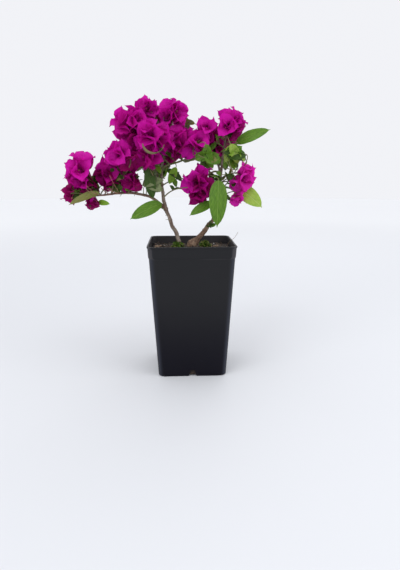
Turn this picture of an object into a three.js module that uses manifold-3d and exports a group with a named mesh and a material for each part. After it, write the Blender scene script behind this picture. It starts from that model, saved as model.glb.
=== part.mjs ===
// A bougainvillea bush in a tall square nursery pot. Millimetres, +Z up.
// The origin is the middle of the pot's flat underside. +X is the bush's right and -Y is its front.
import * as THREE from "three";
import { mergeVertices } from "three/addons/utils/BufferGeometryUtils.js";
import Module from "manifold-3d";

// Driving dimensions of the pot.
const POT_TOP = 140; // outer width across the rim
const POT_FOOT = 112; // outer width across the underside
const POT_HEIGHT = 217;
const POT_WALL = 1.8;
const POT_FLOOR = 2.5;
const POT_CORNER = 11; // radius of the four upright corners
const BAND_HEIGHT = 18; // the wider band under the rim, which rests in the pot above when pots are stacked
const BAND_STEP = 0.9; // how far the band stands out from the wall below it
const LIP_HEIGHT = 2.5; // the thick edge of the rim
const LIP_STEP = 0.8;
const CORNER_STEPS = 3; // straight pieces in each rounded corner
const NOTCH_WIDTH = 11; // drainage notch in the foot of each side
const NOTCH_HEIGHT = 11.5;
const NOTCH_DEPTH = 12; // how far it runs in under the pot

// Driving dimensions of what grows in it.
const PLANT_SHIFT = 1.5; // the bush stands this far to the right of the pot's axis
const PLANT_TURN = -2.8; // and is turned by this many degrees against the pot's sides
const SOIL_DROP = 14; // the potting mix lies this far under the rim
const SOIL_SWELL = 1.6; // height of its humps
const GAP = 0.3; // clearance between neighbours
const MASS_GAP = 0.36; // a little wider, because an uneven mass is thinner than its half sizes in places
const LIMB_SIDES = 7;
const LIMB_STEP = 15; // length of one straight piece of a limb
const LOBE_DEPTH = 0.34; // share of a mass's half size by which its surface falls in between its lobes
const LARGE_MASS = 28; // a mass with a half size above this is built from a finer ball
const DRAWN_IN = 0.55; // how far the flanks of a pointed mass are drawn in at its ends

const RIM = POT_HEIGHT;
const SOIL_TOP = RIM - SOIL_DROP;
const TAPER = (POT_TOP / 2 - BAND_STEP - LIP_STEP - POT_FOOT / 2) / POT_HEIGHT; // slope of the pot's wall

// Materials.
const surface = (color, roughness) => new THREE.MeshStandardMaterial({ color, roughness, metalness: 0 });
const potPlastic = surface(0x26272a, 0.42);
const pottingMix = surface(0x3b2d23, 0.95);
const bark = surface(0x7d6650, 0.85);
const bracts = surface(0xb3058c, 0.6);
const leaves = surface(0x4a7322, 0.5);

// Limbs. Each runs along a smooth path of points: x, y and height above the rim, about the bush's own axis.
const limbs = {
  trunk: { path: [[-1, 1, -SOIL_DROP + GAP], [-1, 1, -9], [1, 1, -4]], foot: 8, tip: 6.5, flare: 4 },
  left_stem: {
    path: [
      [-19.5, 1, -SOIL_DROP + GAP], [-19.5, 1, -9], [-21.3, 0.5, 0],
      [-26.5, 0, 13.5], [-33.5, -1, 29], [-42, -2, 52],
    ],
    foot: 3.8, tip: 3.6,
  },
  right_stem: { path: [[2, 1, -6], [13.5, 1, 8], [24.5, 0, 21.5], [36, 0, 37]], foot: 5.4, tip: 4.2 },
  arching_bough: { path: [[-42, -2, 51], [-50, -4, 60], [-61, -7, 69], [-78, -11, 76]], foot: 2.5, tip: 2.1 },
  arching_bough_end: {
    path: [[-78, -11, 76], [-104, -17, 79], [-128, -21, 77], [-148, -24, 75]], foot: 2.1, tip: 1.4,
  },
  upright_bough: { path: [[-42, -2, 50], [-47, 0, 78], [-49, 2, 104], [-46, 4, 132]], foot: 3.1, tip: 1.9 },
  cross_bough: { path: [[-48, 2, 117], [-35, 0, 123], [-14, -2, 129], [4, -4, 137]], foot: 1.7, tip: 1.1 },
  right_bough: {
    path: [[35, 0, 36], [42, 2, 62], [46, 4, 90], [48, 4, 118], [52, 2, 148], [55, 0, 166]],
    foot: 3.6, tip: 1.7,
  },
  low_left_bough: { path: [[47, 4, 110], [36, -6, 112], [24, -13, 106]], foot: 1.6, tip: 1.1 },
  low_right_bough: { path: [[46, 4, 98], [58, 0, 107], [68, -6, 106]], foot: 1.6, tip: 1.1 },
  rear_left_bough: { path: [[-48, 1, 90], [-60, 22, 112], [-68, 40, 132]], foot: 1.9, tip: 1.2 },
  rear_right_bough: { path: [[47, 4, 98], [44, 24, 120], [36, 42, 138]], foot: 1.9, tip: 1.2 },
  leaf_bough: { path: [[-42, -2, 51], [-50, -6, 55], [-58, -9, 55]], foot: 1.5, tip: 1 },
};

// Masses of coloured bracts: centre as x, y and height above the rim, half sizes, and turns about X, Y and Z.
const bractMasses = {
  left_end: { at: [-165, -28, 107], half: [33, 30, 34] },
  left_inner: { at: [-130, -14, 109], half: [27, 29, 28] },
  left_tip: { at: [-187, -30, 78], half: [23, 19, 14], turn: [0, 0.25, 0] },
  left_hanging: { at: [-151, -34, 66], half: [20, 14, 11], turn: [0, -0.15, 0] },
  centre_left: { at: [-103, -34, 135], half: [26, 27, 28] },
  centre_shoulder: { at: [-90, -8, 176], half: [34, 34, 36] },
  centre_heart: { at: [-54, -32, 163], half: [30, 29, 33] },
  centre_peak: { at: [-68, 6, 204], half: [21, 21, 21] },
  centre_foot: { at: [-68, -26, 131], half: [23, 24, 19] },
  under_left: { at: [-92, -20, 99], half: [23, 22, 20] },
  top_right: { at: [-30, 0, 197], half: [25, 26, 24] },
  centre_right: { at: [-26, -10, 156], half: [24, 30, 29] },
  bridge_low: { at: [2, -10, 154], half: [24, 26, 22] },
  bridge_high: { at: [22, 2, 173], half: [22, 25, 21] },
  right_peak: { at: [59, -4, 180], half: [26, 27, 35] },
  lower_left: { at: [10, -22, 90], half: [29, 26, 38], turn: [0, -0.2, 0] },
  lower_right: { at: [77, -12, 104], half: [24, 22, 23] },
  lower_right_tip: { at: [72, -14, 72], half: [16, 13, 16] },
  rear_far_left: { at: [-126, 28, 113], half: [31, 26, 27] },
  rear_left: { at: [-78, 50, 150], half: [38, 30, 35] },
  rear_right: { at: [32, 50, 152], half: [36, 30, 30] },
  rear_middle: { at: [-24, 44, 168], half: [31, 28, 30] },
  rear_high: { at: [-60, 36, 188], half: [26, 22, 24] },
  back_left: { at: [-56, 83, 148], half: [36, 25, 29] },
  back_right: { at: [4, 80, 153], half: [36, 24, 27] },
};

// Masses of green leaves, given in the same way. A pointed one is a single leaf or a flat spray of them.
const leafMasses = {
  leaf_low_left: { at: [-73, -10, 50], half: [28, 7, 13], turn: [0, -0.5, 0], pointed: true },
  leaves_centre: { at: [-60, -16, 96], half: [18, 18, 31], turn: [0, 0.1, 0] },
  leaves_centre_right: { at: [-30, -3, 105], half: [23, 11, 15], turn: [0, -0.1, 0] },
  leaf_cross: { at: [3, -5, 131], half: [16, 7, 7], turn: [0, -0.2, 0], pointed: true },
  leaves_bridge: { at: [28, -28, 132], half: [25, 15, 25], turn: [0, -0.5, 0] },
  leaves_right: { at: [66, -18, 138], half: [31, 22, 20], turn: [0, 0.3, 0] },
  leaf_far_right: { at: [96, -4, 165], half: [28, 8, 11], turn: [0, -0.42, 0], pointed: true },
  leaf_big: { at: [41, -31, 63], half: [17, 7, 36], turn: [0, 0.03, 0], pointed: true },
  leaf_behind_big: { at: [15, -25, 55], half: [21, 7, 10], turn: [0, -0.55, 0], pointed: true },
  leaf_low_right: { at: [93, -8, 72], half: [25, 7, 16], turn: [0, 0.6, 0], pointed: true },
  leaf_inner: { at: [40, -20, 102], half: [10, 11, 18] },
  leaves_stem: { at: [31, -4, 28], half: [11, 10, 8] },
  leaf_top: { at: [-6, 16, 187], half: [16, 10, 12] },
  leaf_left_end: { at: [-164, -40, 71], half: [25, 7, 9], turn: [0, -0.4, 0], pointed: true },
  leaves_rear_left: { at: [-62, 34, 110], half: [28, 20, 20] },
  leaves_rear_right: { at: [62, 32, 129], half: [28, 20, 18] },
  leaves_back: { at: [-60, 74, 118], half: [30, 19, 18] },
  shoots_left: { at: [-22.5, -2, -7], half: [15, 14, 10] },
  shoots_right: { at: [22, 1, -7], half: [14, 13, 11] },
};

const wasm = await Module();
wasm.setup();

/** A closed three.js geometry as a solid that can be cut and joined. */
function solidOf(geometry) {
  const bare = geometry.clone();
  bare.deleteAttribute("normal");
  bare.deleteAttribute("uv");
  const merged = mergeVertices(bare, 1e-4);
  const triVerts = new Uint32Array(merged.index.array);
  return new wasm.Manifold(
    new wasm.Mesh({ numProp: 3, vertProperties: merged.attributes.position.array, triVerts }),
  );
}

/** The largest body of a solid as a mesh of the given name and material. */
function meshOf(name, solid, material) {
  const whole = solid.decompose().sort((a, b) => b.volume() - a.volume())[0];
  const made = whole.getMesh();
  const geometry = new THREE.BufferGeometry();
  geometry.setAttribute("position", new THREE.BufferAttribute(new Float32Array(made.vertProperties), 3));
  geometry.setIndex(new THREE.BufferAttribute(new Uint32Array(made.triVerts), 1));
  geometry.computeVertexNormals();
  const mesh = new THREE.Mesh(geometry, material);
  mesh.name = name;
  return mesh;
}

/** The corners of a rounded square of half width `half`, as unit steps round it. */
function roundedSquare(half, corner) {
  const points = [];
  for (let quarter = 0; quarter < 4; quarter++) {
    for (let step = 0; step <= CORNER_STEPS; step++) {
      const angle = ((quarter + step / CORNER_STEPS) * Math.PI) / 2;
      const middle = ((quarter + 0.5) * Math.PI) / 2;
      points.push(new THREE.Vector2(
        Math.SQRT2 * (half - corner) * Math.cos(middle) + corner * Math.cos(angle),
        Math.SQRT2 * (half - corner) * Math.sin(middle) + corner * Math.sin(angle),
      ));
    }
  }
  return points;
}

/**
 * A profile of [half width, height] carried round rounded squares, as a lathe carries one round circles.
 * The profile starts and ends on the axis. `lift` may raise each point by a height of its own.
 */
function squareLathe(profile, corner, lift = () => 0) {
  const sides = 4 * (CORNER_STEPS + 1);
  const outline = profile.map(([half, height]) => new THREE.Vector2(half, height));
  const geometry = new THREE.LatheGeometry(outline, sides);
  const rings = profile.map(([half]) => roundedSquare(half, Math.min(corner, half * 0.6)));
  const position = geometry.getAttribute("position");
  for (let index = 0; index < position.count; index++) {
    const side = Math.floor(index / profile.length) % sides;
    const level = index % profile.length;
    const place = profile[level][0] > 0 ? rings[level][side] : new THREE.Vector2(0, 0);
    const height = profile[level][1];
    position.setXYZ(index, place.x, place.y, height + lift(place.x, place.y, height));
  }
  return solidOf(geometry);
}

/** The pot: a tapered shell with a wider band and a lip at its rim, and a notch in the foot of each side. */
function potSolid() {
  const outer = (height) => POT_FOOT / 2 + TAPER * height;
  const bandFoot = RIM - BAND_HEIGHT;
  const inner = (height) => outer(height) - POT_WALL;
  const shell = squareLathe([
    [0, 0],
    [outer(0) - 1, 0],
    [outer(2), 2],
    [outer(bandFoot - BAND_STEP), bandFoot - BAND_STEP],
    [outer(bandFoot) + BAND_STEP, bandFoot],
    [outer(RIM - LIP_HEIGHT) + BAND_STEP, RIM - LIP_HEIGHT - LIP_STEP],
    [outer(RIM) + BAND_STEP + LIP_STEP, RIM - LIP_HEIGHT],
    [outer(RIM) + BAND_STEP + LIP_STEP, RIM],
    [inner(RIM) + BAND_STEP, RIM],
    [inner(bandFoot + BAND_STEP) + BAND_STEP, bandFoot + BAND_STEP],
    [inner(bandFoot), bandFoot],
    [inner(POT_FLOOR), POT_FLOOR],
    [0, POT_FLOOR],
  ], POT_CORNER);
  return [0, 1, 2, 3].reduce((pot, quarter) => {
    const notch = new THREE.BoxGeometry(NOTCH_WIDTH, 2 * NOTCH_DEPTH, 2 * NOTCH_HEIGHT);
    notch.translate(0, -POT_FOOT / 2, 0);
    notch.rotateZ((quarter * Math.PI) / 2);
    return pot.subtract(solidOf(notch));
  }, shell);
}

/** The potting mix: it fills the pot to SOIL_DROP under the rim, with low humps on top. */
function soilSolid() {
  const clear = POT_WALL + GAP * 1.2;
  const half = (height) => POT_FOOT / 2 + TAPER * height - clear;
  const bandFoot = RIM - BAND_HEIGHT;
  const top = half(SOIL_TOP);
  const humps = (x, y) => {
    const broad = Math.cos((x - PLANT_SHIFT) / 17) * Math.sin(y / 13 + 1);
    return SOIL_SWELL * (broad - 0.25 * Math.cos((x - y) / 7));
  };
  const level = (x, y, height) => {
    const edge = Math.max(Math.abs(x), Math.abs(y)) / top;
    const middle = Math.hypot(x, y) < 26;
    return height < SOIL_TOP || middle ? 0 : humps(x, y) * (1 - edge * edge);
  };
  return squareLathe([
    [0, POT_FLOOR + GAP],
    [half(POT_FLOOR), POT_FLOOR + GAP],
    [half(bandFoot), bandFoot],
    [top, SOIL_TOP],
    [0.9 * top, SOIL_TOP],
    [0.75 * top, SOIL_TOP],
    [0.6 * top, SOIL_TOP],
    [0.45 * top, SOIL_TOP],
    [0.22 * top, SOIL_TOP],
    [0, SOIL_TOP],
  ], POT_CORNER, level);
}

/**
 * A limb: a cylinder bent along its path, from its foot radius to its tip radius. `grow` widens it all
 * round, and counts twice on a flared limb because its sides slope.
 */
function limbSolid({ path, foot, tip, flare = 0 }, grow = 0) {
  const curve = new THREE.CatmullRomCurve3(path.map(([x, y, z]) => new THREE.Vector3(x, y, RIM + z)));
  const steps = Math.max(3, Math.round(curve.getLength() / LIMB_STEP));
  const tube = new THREE.CylinderGeometry(1, 1, 1, LIMB_SIDES, steps);
  const { tangents, normals, binormals } = curve.computeFrenetFrames(steps);
  const position = tube.getAttribute("position");
  for (let index = 0; index < position.count; index++) {
    const along = position.getY(index) + 0.5;
    const step = Math.round(along * steps);
    const radius = foot + (tip - foot) * along + flare * (1 - along) ** 3 + grow * (flare ? 2 : 1);
    const place = curve.getPointAt(along)
      .addScaledVector(normals[step], position.getX(index) * radius)
      .addScaledVector(binormals[step], position.getZ(index) * radius)
      .addScaledVector(tangents[step], step === 0 ? -grow : step === steps ? grow : 0);
    position.setXYZ(index, place.x, place.y, place.z);
  }
  return outward(tube);
}

/** The solid of a geometry that may have come out inside out. */
function outward(geometry) {
  const solid = solidOf(geometry);
  if (solid.volume() > 0) return solid;
  const index = geometry.index.array;
  for (let corner = 0; corner < index.length; corner += 3) {
    [index[corner], index[corner + 1]] = [index[corner + 1], index[corner]];
  }
  return solidOf(geometry);
}

/**
 * A mass of foliage: a ball stretched to its half sizes, whose surface falls in between a few lobes.
 * The lobes are waves along three directions that follow from the mass's number. A pointed mass has no
 * lobes, and runs to a point along its longest half size.
 */
function massSolid({ at, half, turn = [0, 0, 0], pointed = false }, number, grow = 0) {
  const ball = mergeVertices(bareBall(!pointed && Math.max(...half) > LARGE_MASS ? 2 : 1));
  const position = ball.getAttribute("position");
  const waves = [0, 1, 2].map((wave) => new THREE.Vector3().setFromSphericalCoords(
    3.2 + 0.8 * wave, 1 + number * 1.7 + wave * 2.1, number * 2.3 + wave * 1.3,
  ));
  const spin = new THREE.Euler(...turn);
  const long = half.indexOf(Math.max(...half));
  for (let index = 0; index < position.count; index++) {
    const place = new THREE.Vector3().fromBufferAttribute(position, index);
    if (pointed) {
      const along = place.getComponent(long);
      place.multiplyScalar(1 - DRAWN_IN * along * along).setComponent(long, along);
    } else {
      const swell = waves.reduce((sum, wave) => sum + Math.sin(wave.dot(place) + number), 0) / 3;
      place.multiplyScalar(1 - LOBE_DEPTH * (0.5 - 0.5 * swell));
    }
    place.set(place.x * (half[0] + grow), place.y * (half[1] + grow), place.z * (half[2] + grow));
    place.applyEuler(spin).add(new THREE.Vector3(at[0], at[1], RIM + at[2]));
    position.setXYZ(index, place.x, place.y, place.z);
  }
  return solidOf(ball);
}

/** A ball of triangles with only its places left. */
function bareBall(detail) {
  const ball = new THREE.IcosahedronGeometry(1, detail);
  ball.deleteAttribute("normal");
  ball.deleteAttribute("uv");
  return ball;
}

/** A solid drawn about the bush's own axis, moved to where the bush stands in the pot. */
function potted(solid) {
  return solid.translate([PLANT_SHIFT, 0, 0]).rotate([0, 0, PLANT_TURN]);
}

/** The solid with each of the others taken out of it. */
function carved(solid, others) {
  return others.reduce((left, other) => left.subtract(other), solid);
}

const bush = new THREE.Group();
bush.add(meshOf("pot", potSolid(), potPlastic));
bush.add(meshOf("potting_mix", soilSolid(), pottingMix));

// Each limb is cut back from those before it, so that it starts just clear of the limb that bears it.
const limbClearances = [];
for (const [name, limb] of Object.entries(limbs)) {
  bush.add(meshOf(name, potted(carved(limbSolid(limb), limbClearances)), bark));
  limbClearances.push(limbSolid(limb, GAP));
}

// Each mass is cut back from every limb and from the masses before it.
const taken = [...limbClearances];
const soilClearance = solidOf(new THREE.BoxGeometry(POT_TOP, POT_TOP, POT_HEIGHT)
  .translate(0, 0, SOIL_TOP + GAP - POT_HEIGHT / 2));
const masses = [
  ...Object.entries(bractMasses).map(([name, mass]) => ["bracts_" + name, mass, bracts]),
  ...Object.entries(leafMasses).map(([name, mass]) => [name, mass, leaves]),
];
masses.forEach(([name, mass, material], number) => {
  const lowest = RIM + mass.at[2] - mass.half[2];
  const ground = lowest < SOIL_TOP + GAP ? [soilClearance] : [];
  bush.add(meshOf(name, potted(carved(massSolid(mass, number), [...taken, ...ground])), material));
  taken.push(massSolid(mass, number, MASS_GAP));
});

export default bush;
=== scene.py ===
"""A bougainvillea bush in a tall square nursery pot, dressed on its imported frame.

Sizes are in millimetres, +X to the right, +Y to the back and +Z up from the rim. Places in the pot are
measured from the pot's axis. Places in the bush are measured from the bush's own axis, which stands a
little to the right of the pot's and turned. The meshes are handed to Blender in metres, from the
middle of the pot's underside.
"""
import logging
from dataclasses import dataclass, field
from enum import Enum
from typing import Any, Iterable, Sequence

import bpy
import numpy as np
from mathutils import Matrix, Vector
from numpy.typing import NDArray


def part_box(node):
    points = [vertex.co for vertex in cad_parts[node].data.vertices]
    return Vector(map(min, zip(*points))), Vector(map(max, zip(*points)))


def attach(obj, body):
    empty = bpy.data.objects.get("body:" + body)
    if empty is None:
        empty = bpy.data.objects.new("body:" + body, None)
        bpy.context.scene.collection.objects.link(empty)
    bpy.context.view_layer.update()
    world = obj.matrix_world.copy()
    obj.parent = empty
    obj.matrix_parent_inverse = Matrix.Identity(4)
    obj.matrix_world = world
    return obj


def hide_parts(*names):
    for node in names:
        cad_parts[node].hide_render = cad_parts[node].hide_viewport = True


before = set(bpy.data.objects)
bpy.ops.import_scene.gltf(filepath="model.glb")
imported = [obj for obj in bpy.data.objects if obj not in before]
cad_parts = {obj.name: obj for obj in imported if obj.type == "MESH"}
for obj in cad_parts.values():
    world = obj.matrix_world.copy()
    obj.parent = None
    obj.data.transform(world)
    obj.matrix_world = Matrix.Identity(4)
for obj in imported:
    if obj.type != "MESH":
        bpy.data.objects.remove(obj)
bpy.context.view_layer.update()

LOG = logging.getLogger("bougainvillea")

Array = NDArray[np.float64]
Point = tuple[float, float, float]
Colour = tuple[float, float, float]

MM = 0.001
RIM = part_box("pot")[1].z / MM
UV_MAP = "OFBake"
BUSH_SHIFT = 1.5  # how far the bush's axis stands to the right of the pot's
BUSH_TURN = np.radians(-2.8)  # how far the bush is turned against the pot's sides


# ---------------------------------------------------------------------------------------------- shader maths


class Value:
    """A socket of a node tree on which sums are written as ordinary expressions."""

    def __init__(self, graph: "Graph", socket: bpy.types.NodeSocket) -> None:
        """Wrap one output socket of the graph."""
        self.graph = graph
        self.socket = socket

    def _math(self, operation: str, *terms: "Value | float") -> "Value":
        """Add one Math node for the operation on the terms."""
        sockets = {place: term for place, term in enumerate(terms)}
        return self.graph.node("ShaderNodeMath", {"operation": operation}, sockets)[0]

    def __add__(self, other: "Value | float") -> "Value":
        """Self plus other."""
        return self._math("ADD", self, other)

    __radd__ = __add__

    def __sub__(self, other: "Value | float") -> "Value":
        """Self minus other."""
        return self._math("SUBTRACT", self, other)

    def __rsub__(self, other: float) -> "Value":
        """Other minus self."""
        return self._math("SUBTRACT", other, self)

    def __mul__(self, other: "Value | float") -> "Value":
        """Self times other."""
        return self._math("MULTIPLY", self, other)

    __rmul__ = __mul__

    def __truediv__(self, other: "Value | float") -> "Value":
        """Self divided by other."""
        return self._math("DIVIDE", self, other)

    def __abs__(self) -> "Value":
        """Self without its sign."""
        return self._math("ABSOLUTE", self)

    def sine(self) -> "Value":
        """Sine of self, in radians."""
        return self._math("SINE", self)

    def least(self, other: "Value | float") -> "Value":
        """The smaller of self and other."""
        return self._math("MINIMUM", self, other)

    def most(self, other: "Value | float") -> "Value":
        """The larger of self and other."""
        return self._math("MAXIMUM", self, other)

    def ease(self, low: float, high: float) -> "Value":
        """Rise smoothly from 0 at low to 1 at high, or fall if low is above high."""
        values = {"Value": self, "From Min": low, "From Max": high}
        return self.graph.node("ShaderNodeMapRange", {"interpolation_type": "SMOOTHSTEP"}, values)[0]


class Graph:
    """The node tree of one material."""

    def __init__(self, name: str) -> None:
        """Start a material of this name with an empty tree."""
        self.material = bpy.data.materials.new(name)
        self.material.use_nodes = True
        self.tree = self.material.node_tree
        self.tree.nodes.clear()

    def node(
        self,
        kind: str,
        settings: dict[str, Any] | None = None,
        sockets: dict[str | int, Any] | None = None,
    ) -> list[Value]:
        """Add one node of any kind.

        Args:
            kind: The node's type.
            settings: Properties of the node, set before its sockets.
            sockets: A number, colour or link for each named or numbered input.

        Returns:
            The node's outputs in order.
        """
        made = self.tree.nodes.new(kind)
        for name, setting in (settings or {}).items():
            setattr(made, name, setting)
        for name, content in (sockets or {}).items():
            if isinstance(content, Value):
                self.tree.links.new(content.socket, made.inputs[name])
            else:
                made.inputs[name].default_value = content
        return [Value(self, output) for output in made.outputs]

    def place(self) -> Value:
        """Where the shaded point lies on its piece, in metres."""
        return self.node("ShaderNodeTexCoord")[3]

    def blade_map(self) -> tuple[Value, Value]:
        """The place on a blade: across it, where the midrib is 0.5, and along it from base to tip."""
        uv = self.node("ShaderNodeUVMap", {"uv_map": UV_MAP})[0]
        across, along, _ = self.node("ShaderNodeSeparateXYZ", sockets={0: uv})
        return across, along

    def noise(self, scale: float, detail: float = 3.0, stretch: Point = (1, 1, 1), at: Any = None) -> Value:
        """Cloudy noise between 0 and 1.

        Args:
            scale: Cells per metre, or per unit of a map.
            detail: How many finer layers are added.
            stretch: Factor on each coordinate.
            at: Coordinates to read instead of the place on the piece.

        Returns:
            The noise as a value.
        """
        vector = self.place() if at is None else at
        turned = self.node("ShaderNodeMapping", sockets={"Vector": vector, "Scale": stretch})[0]
        sockets = {"Vector": turned, "Scale": scale, "Detail": detail, "Roughness": 0.55}
        return self.node("ShaderNodeTexNoise", sockets=sockets)[0]

    def cells(self, scale: float, feature: str = "F1", at: Any = None) -> Value:
        """Distance within scattered cells.

        Args:
            scale: Cells per metre, or per unit of a map.
            feature: F1 for the distance to a cell's middle, DISTANCE_TO_EDGE for that to its border.
            at: Coordinates to read instead of the place on the piece.

        Returns:
            The distance as a value.
        """
        sockets = {"Vector": self.place() if at is None else at, "Scale": scale}
        return self.node("ShaderNodeTexVoronoi", {"feature": feature}, sockets)[0]

    def mix(self, factor: Value | float, first: Any, second: Any) -> Value:
        """Blend two colours.

        Args:
            factor: Share of the second colour.
            first: A colour or a link to one.
            second: A colour or a link to one.

        Returns:
            The blended colour.
        """
        sockets = {0: factor, 6: self._opaque(first), 7: self._opaque(second)}
        return self.node("ShaderNodeMix", {"data_type": "RGBA"}, sockets)[2]

    @staticmethod
    def _opaque(colour: Any) -> Any:
        """A colour with its alpha, or a link unchanged."""
        return colour if isinstance(colour, Value) else (*colour, 1.0)

    def relief(self, height: Value, depth: float) -> Value:
        """A normal bent by a height between 0 and 1 that stands for this depth in millimetres."""
        return self.node("ShaderNodeBump", sockets={"Height": height, "Distance": depth * MM})[0]

    def finish(
        self,
        colour: Any,
        roughness: Any,
        normal: Value | None = None,
        glow_through: float = 0.0,
        **constants: Any,
    ) -> bpy.types.Material:
        """End the tree in a surface.

        Args:
            colour: Base colour, or a link to one.
            roughness: Roughness, or a link to one.
            normal: Bent normal, if there is relief.
            glow_through: Share of light that a thin blade lets through.
            **constants: Numbers or links for other sockets of the surface, each under the socket's name
                with _ for its spaces.

        Returns:
            The finished material.
        """
        sockets: dict[str | int, Any] = {"Base Color": self._opaque(colour), "Roughness": roughness}
        sockets.update({name.replace("_", " "): number for name, number in constants.items()})
        if normal is not None:
            sockets["Normal"] = normal
        surface = self.node("ShaderNodeBsdfPrincipled", sockets=sockets)[0]
        if glow_through:
            behind: dict[str | int, Any] = {"Color": self._opaque(colour)}
            if normal is not None:
                behind["Normal"] = normal
            through = self.node("ShaderNodeBsdfTranslucent", sockets=behind)[0]
            surface = self.node("ShaderNodeMixShader", sockets={0: glow_through, 1: surface, 2: through})[0]
        self.node("ShaderNodeOutputMaterial", sockets={"Surface": surface})
        return self.material


# ------------------------------------------------------------------------------------------------- finishes


@dataclass(frozen=True)
class PotPlastic:
    """Black moulded plastic: satin, with painted shade low, painted light high up and a painted corner sheen.

    Inside the rim it is painted paler, as painted light. The wall's face is where the half width is the
    foot's plus the height times the slope, in metres.
    """

    foot: float = 0.056
    slope: float = 0.058
    # painted shade low down and painted light high up on the wall, blended by height
    shaded_foot_tone: Colour = (0.0012, 0.0008, 0.005)
    lit_top_tone: Colour = (0.0125, 0.0128, 0.0148)
    # painted bluish sheen on the upright corners; real scuffs take the same colour
    corner_sheen_and_scuff: Colour = (0.03, 0.034, 0.05)
    # painted light on the inner face of the rim
    inner_painted_light: Colour = (0.05, 0.047, 0.05)

    def build(self) -> bpy.types.Material:
        """Make the material."""
        g = Graph("pot_plastic")
        cloud = g.noise(18, 4)
        drag = g.noise(160, 2, (1, 1, 0.05))
        grain = g.noise(1500, 2)
        x, y, height = g.node("ShaderNodeSeparateXYZ", sockets={0: g.place()})
        near, far = abs(x).least(abs(y)), abs(x).most(abs(y))
        # painted light: the plastic is darker low down and lighter high up
        colour = g.mix(height.ease(0.015, 0.16), self.shaded_foot_tone, self.lit_top_tone)
        # painted sheen: lighter bluish colour along the upright corners
        colour = g.mix((near / far).ease(0.84, 1.0) * (0.45 + cloud * 0.5), colour, self.corner_sheen_and_scuff)
        outside = (far - height * self.slope - self.foot).ease(-0.0003, 0.0001)
        inside = (1 - outside) * height.ease(0.196, 0.2)
        # painted light: the inner face of the rim is made paler
        colour = g.mix(inside * (0.55 + cloud * 0.5), colour, self.inner_painted_light)
        scuff = g.noise(420, 2, (0.25, 0.25, 1)).ease(0.64, 0.8) * cloud.ease(0.45, 0.7)
        # real scuffs, in the same colour as the painted corner sheen
        colour = g.mix(scuff * 0.3, colour, self.corner_sheen_and_scuff)
        roughness = 0.34 + cloud * 0.12 + drag * 0.05 + scuff * 0.15
        return g.finish(colour, roughness, g.relief(grain * 0.5 + drag * 0.5, 0.05), Specular_IOR_Level=0.17)


@dataclass(frozen=True)
class PottingCrumb:
    """Moist bark-based potting mix."""

    dark: Colour = (0.009, 0.006, 0.004)
    light: Colour = (0.055, 0.034, 0.021)

    def build(self) -> bpy.types.Material:
        """Make the material."""
        g = Graph("potting_crumb")
        lumps = g.noise(260, 5)
        grit = g.cells(900)
        colour = g.mix(lumps.ease(0.35, 0.72), self.dark, self.light)
        colour = g.mix(grit.ease(0.12, 0.02) * 0.6, colour, (0.12, 0.09, 0.062))
        return g.finish(colour, 0.75 + lumps * 0.2, g.relief(lumps * 0.7 + grit * 0.3, 1.2))


@dataclass(frozen=True)
class Fleck:
    """A small bit with a mottled finish: a bark chip, a perlite grain or a dry fibre."""

    name: str
    dark: Colour
    light: Colour
    scale: float
    roughness: float = 0.85

    def build(self) -> bpy.types.Material:
        """Make the material."""
        g = Graph(self.name)
        mottle = g.noise(self.scale, 4, (1, 1, 2.5))
        colour = g.mix(mottle.ease(0.3, 0.7), self.dark, self.light)
        return g.finish(colour, self.roughness - mottle * 0.1, g.relief(mottle, 0.5))


@dataclass(frozen=True)
class WoodyBark:
    """Grey-brown bark with long fissures and pale pores, over a browner ground."""

    name: str
    ground: Colour
    ridge: Colour
    fissure: Colour
    green: Colour | None = None

    def build(self) -> bpy.types.Material:
        """Make the material."""
        g = Graph(self.name)
        around, along = g.blade_map()
        at = g.node("ShaderNodeCombineXYZ", sockets={0: around, 1: along, 2: 0.0})[0]
        streak = g.noise(14, 4, (2.2, 0.5, 1), at)
        patch = g.noise(120, 3)
        pores = g.cells(9, "F1", g.node("ShaderNodeMapping", sockets={"Vector": at, "Scale": (3, 1.3, 1)})[0])
        colour = g.mix(streak.ease(0.32, 0.62), self.fissure, self.ground)
        colour = g.mix(patch.ease(0.42, 0.7) * 0.8, colour, self.ridge)
        colour = g.mix(pores.ease(0.13, 0.06) * 0.6, colour, self.ridge)
        if self.green is not None:
            colour = g.mix(g.noise(45, 2).ease(0.4, 0.62) * 0.7, colour, self.green)
        return g.finish(colour, 0.66 + patch * 0.2, g.relief(streak * 0.7 + patch * 0.3, 0.5))


@dataclass(frozen=True)
class BractPaper:
    """Papery bract: one tint for a whole head, with fine net veins, a midrib and painted shade in the throat.
    """

    name: str
    colour: Colour
    # colour of the painted shade in the throat, also used for darker mottles
    throat: Colour
    vein: Colour
    glow: float = 0.34

    def build(self) -> bpy.types.Material:
        """Make the material."""
        g = Graph(self.name)
        across, along = g.blade_map()
        side = abs(across - 0.5)
        at = g.node("ShaderNodeCombineXYZ", sockets={0: across * 0.8, 1: along, 2: 0.0})[0]
        net = g.cells(13, "DISTANCE_TO_EDGE", at).ease(0.07, 0.0)
        ribs = ((along - side * 0.85) * 44).sine().ease(0.86, 1.0) * side.ease(0.03, 0.1)
        midrib = side.ease(0.022, 0.004) * along.ease(1.0, 0.55)
        lines = (net * 0.3 + ribs * 0.22 + midrib * 0.5).least(1.0)
        cloud = g.noise(5, 3, (1, 1, 1), at)
        # painted shade: the bract darkens towards its foot in the throat
        colour = g.mix(along.ease(0.5, 0.04) * 0.9, self.colour, self.throat)
        colour = g.mix(cloud.ease(0.45, 0.8) * 0.35, colour, self.throat)
        colour = g.mix(lines * 0.55, colour, self.vein)
        colour = g.mix(along.ease(0.955, 1.0) * 0.8, colour, (0.07, 0.05, 0.025))
        bump = g.relief(1 - lines * 0.7 + cloud * 0.5, 0.35)
        return g.finish(colour, 0.52 + cloud * 0.15, bump, self.glow, Specular_IOR_Level=0.14)


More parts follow.
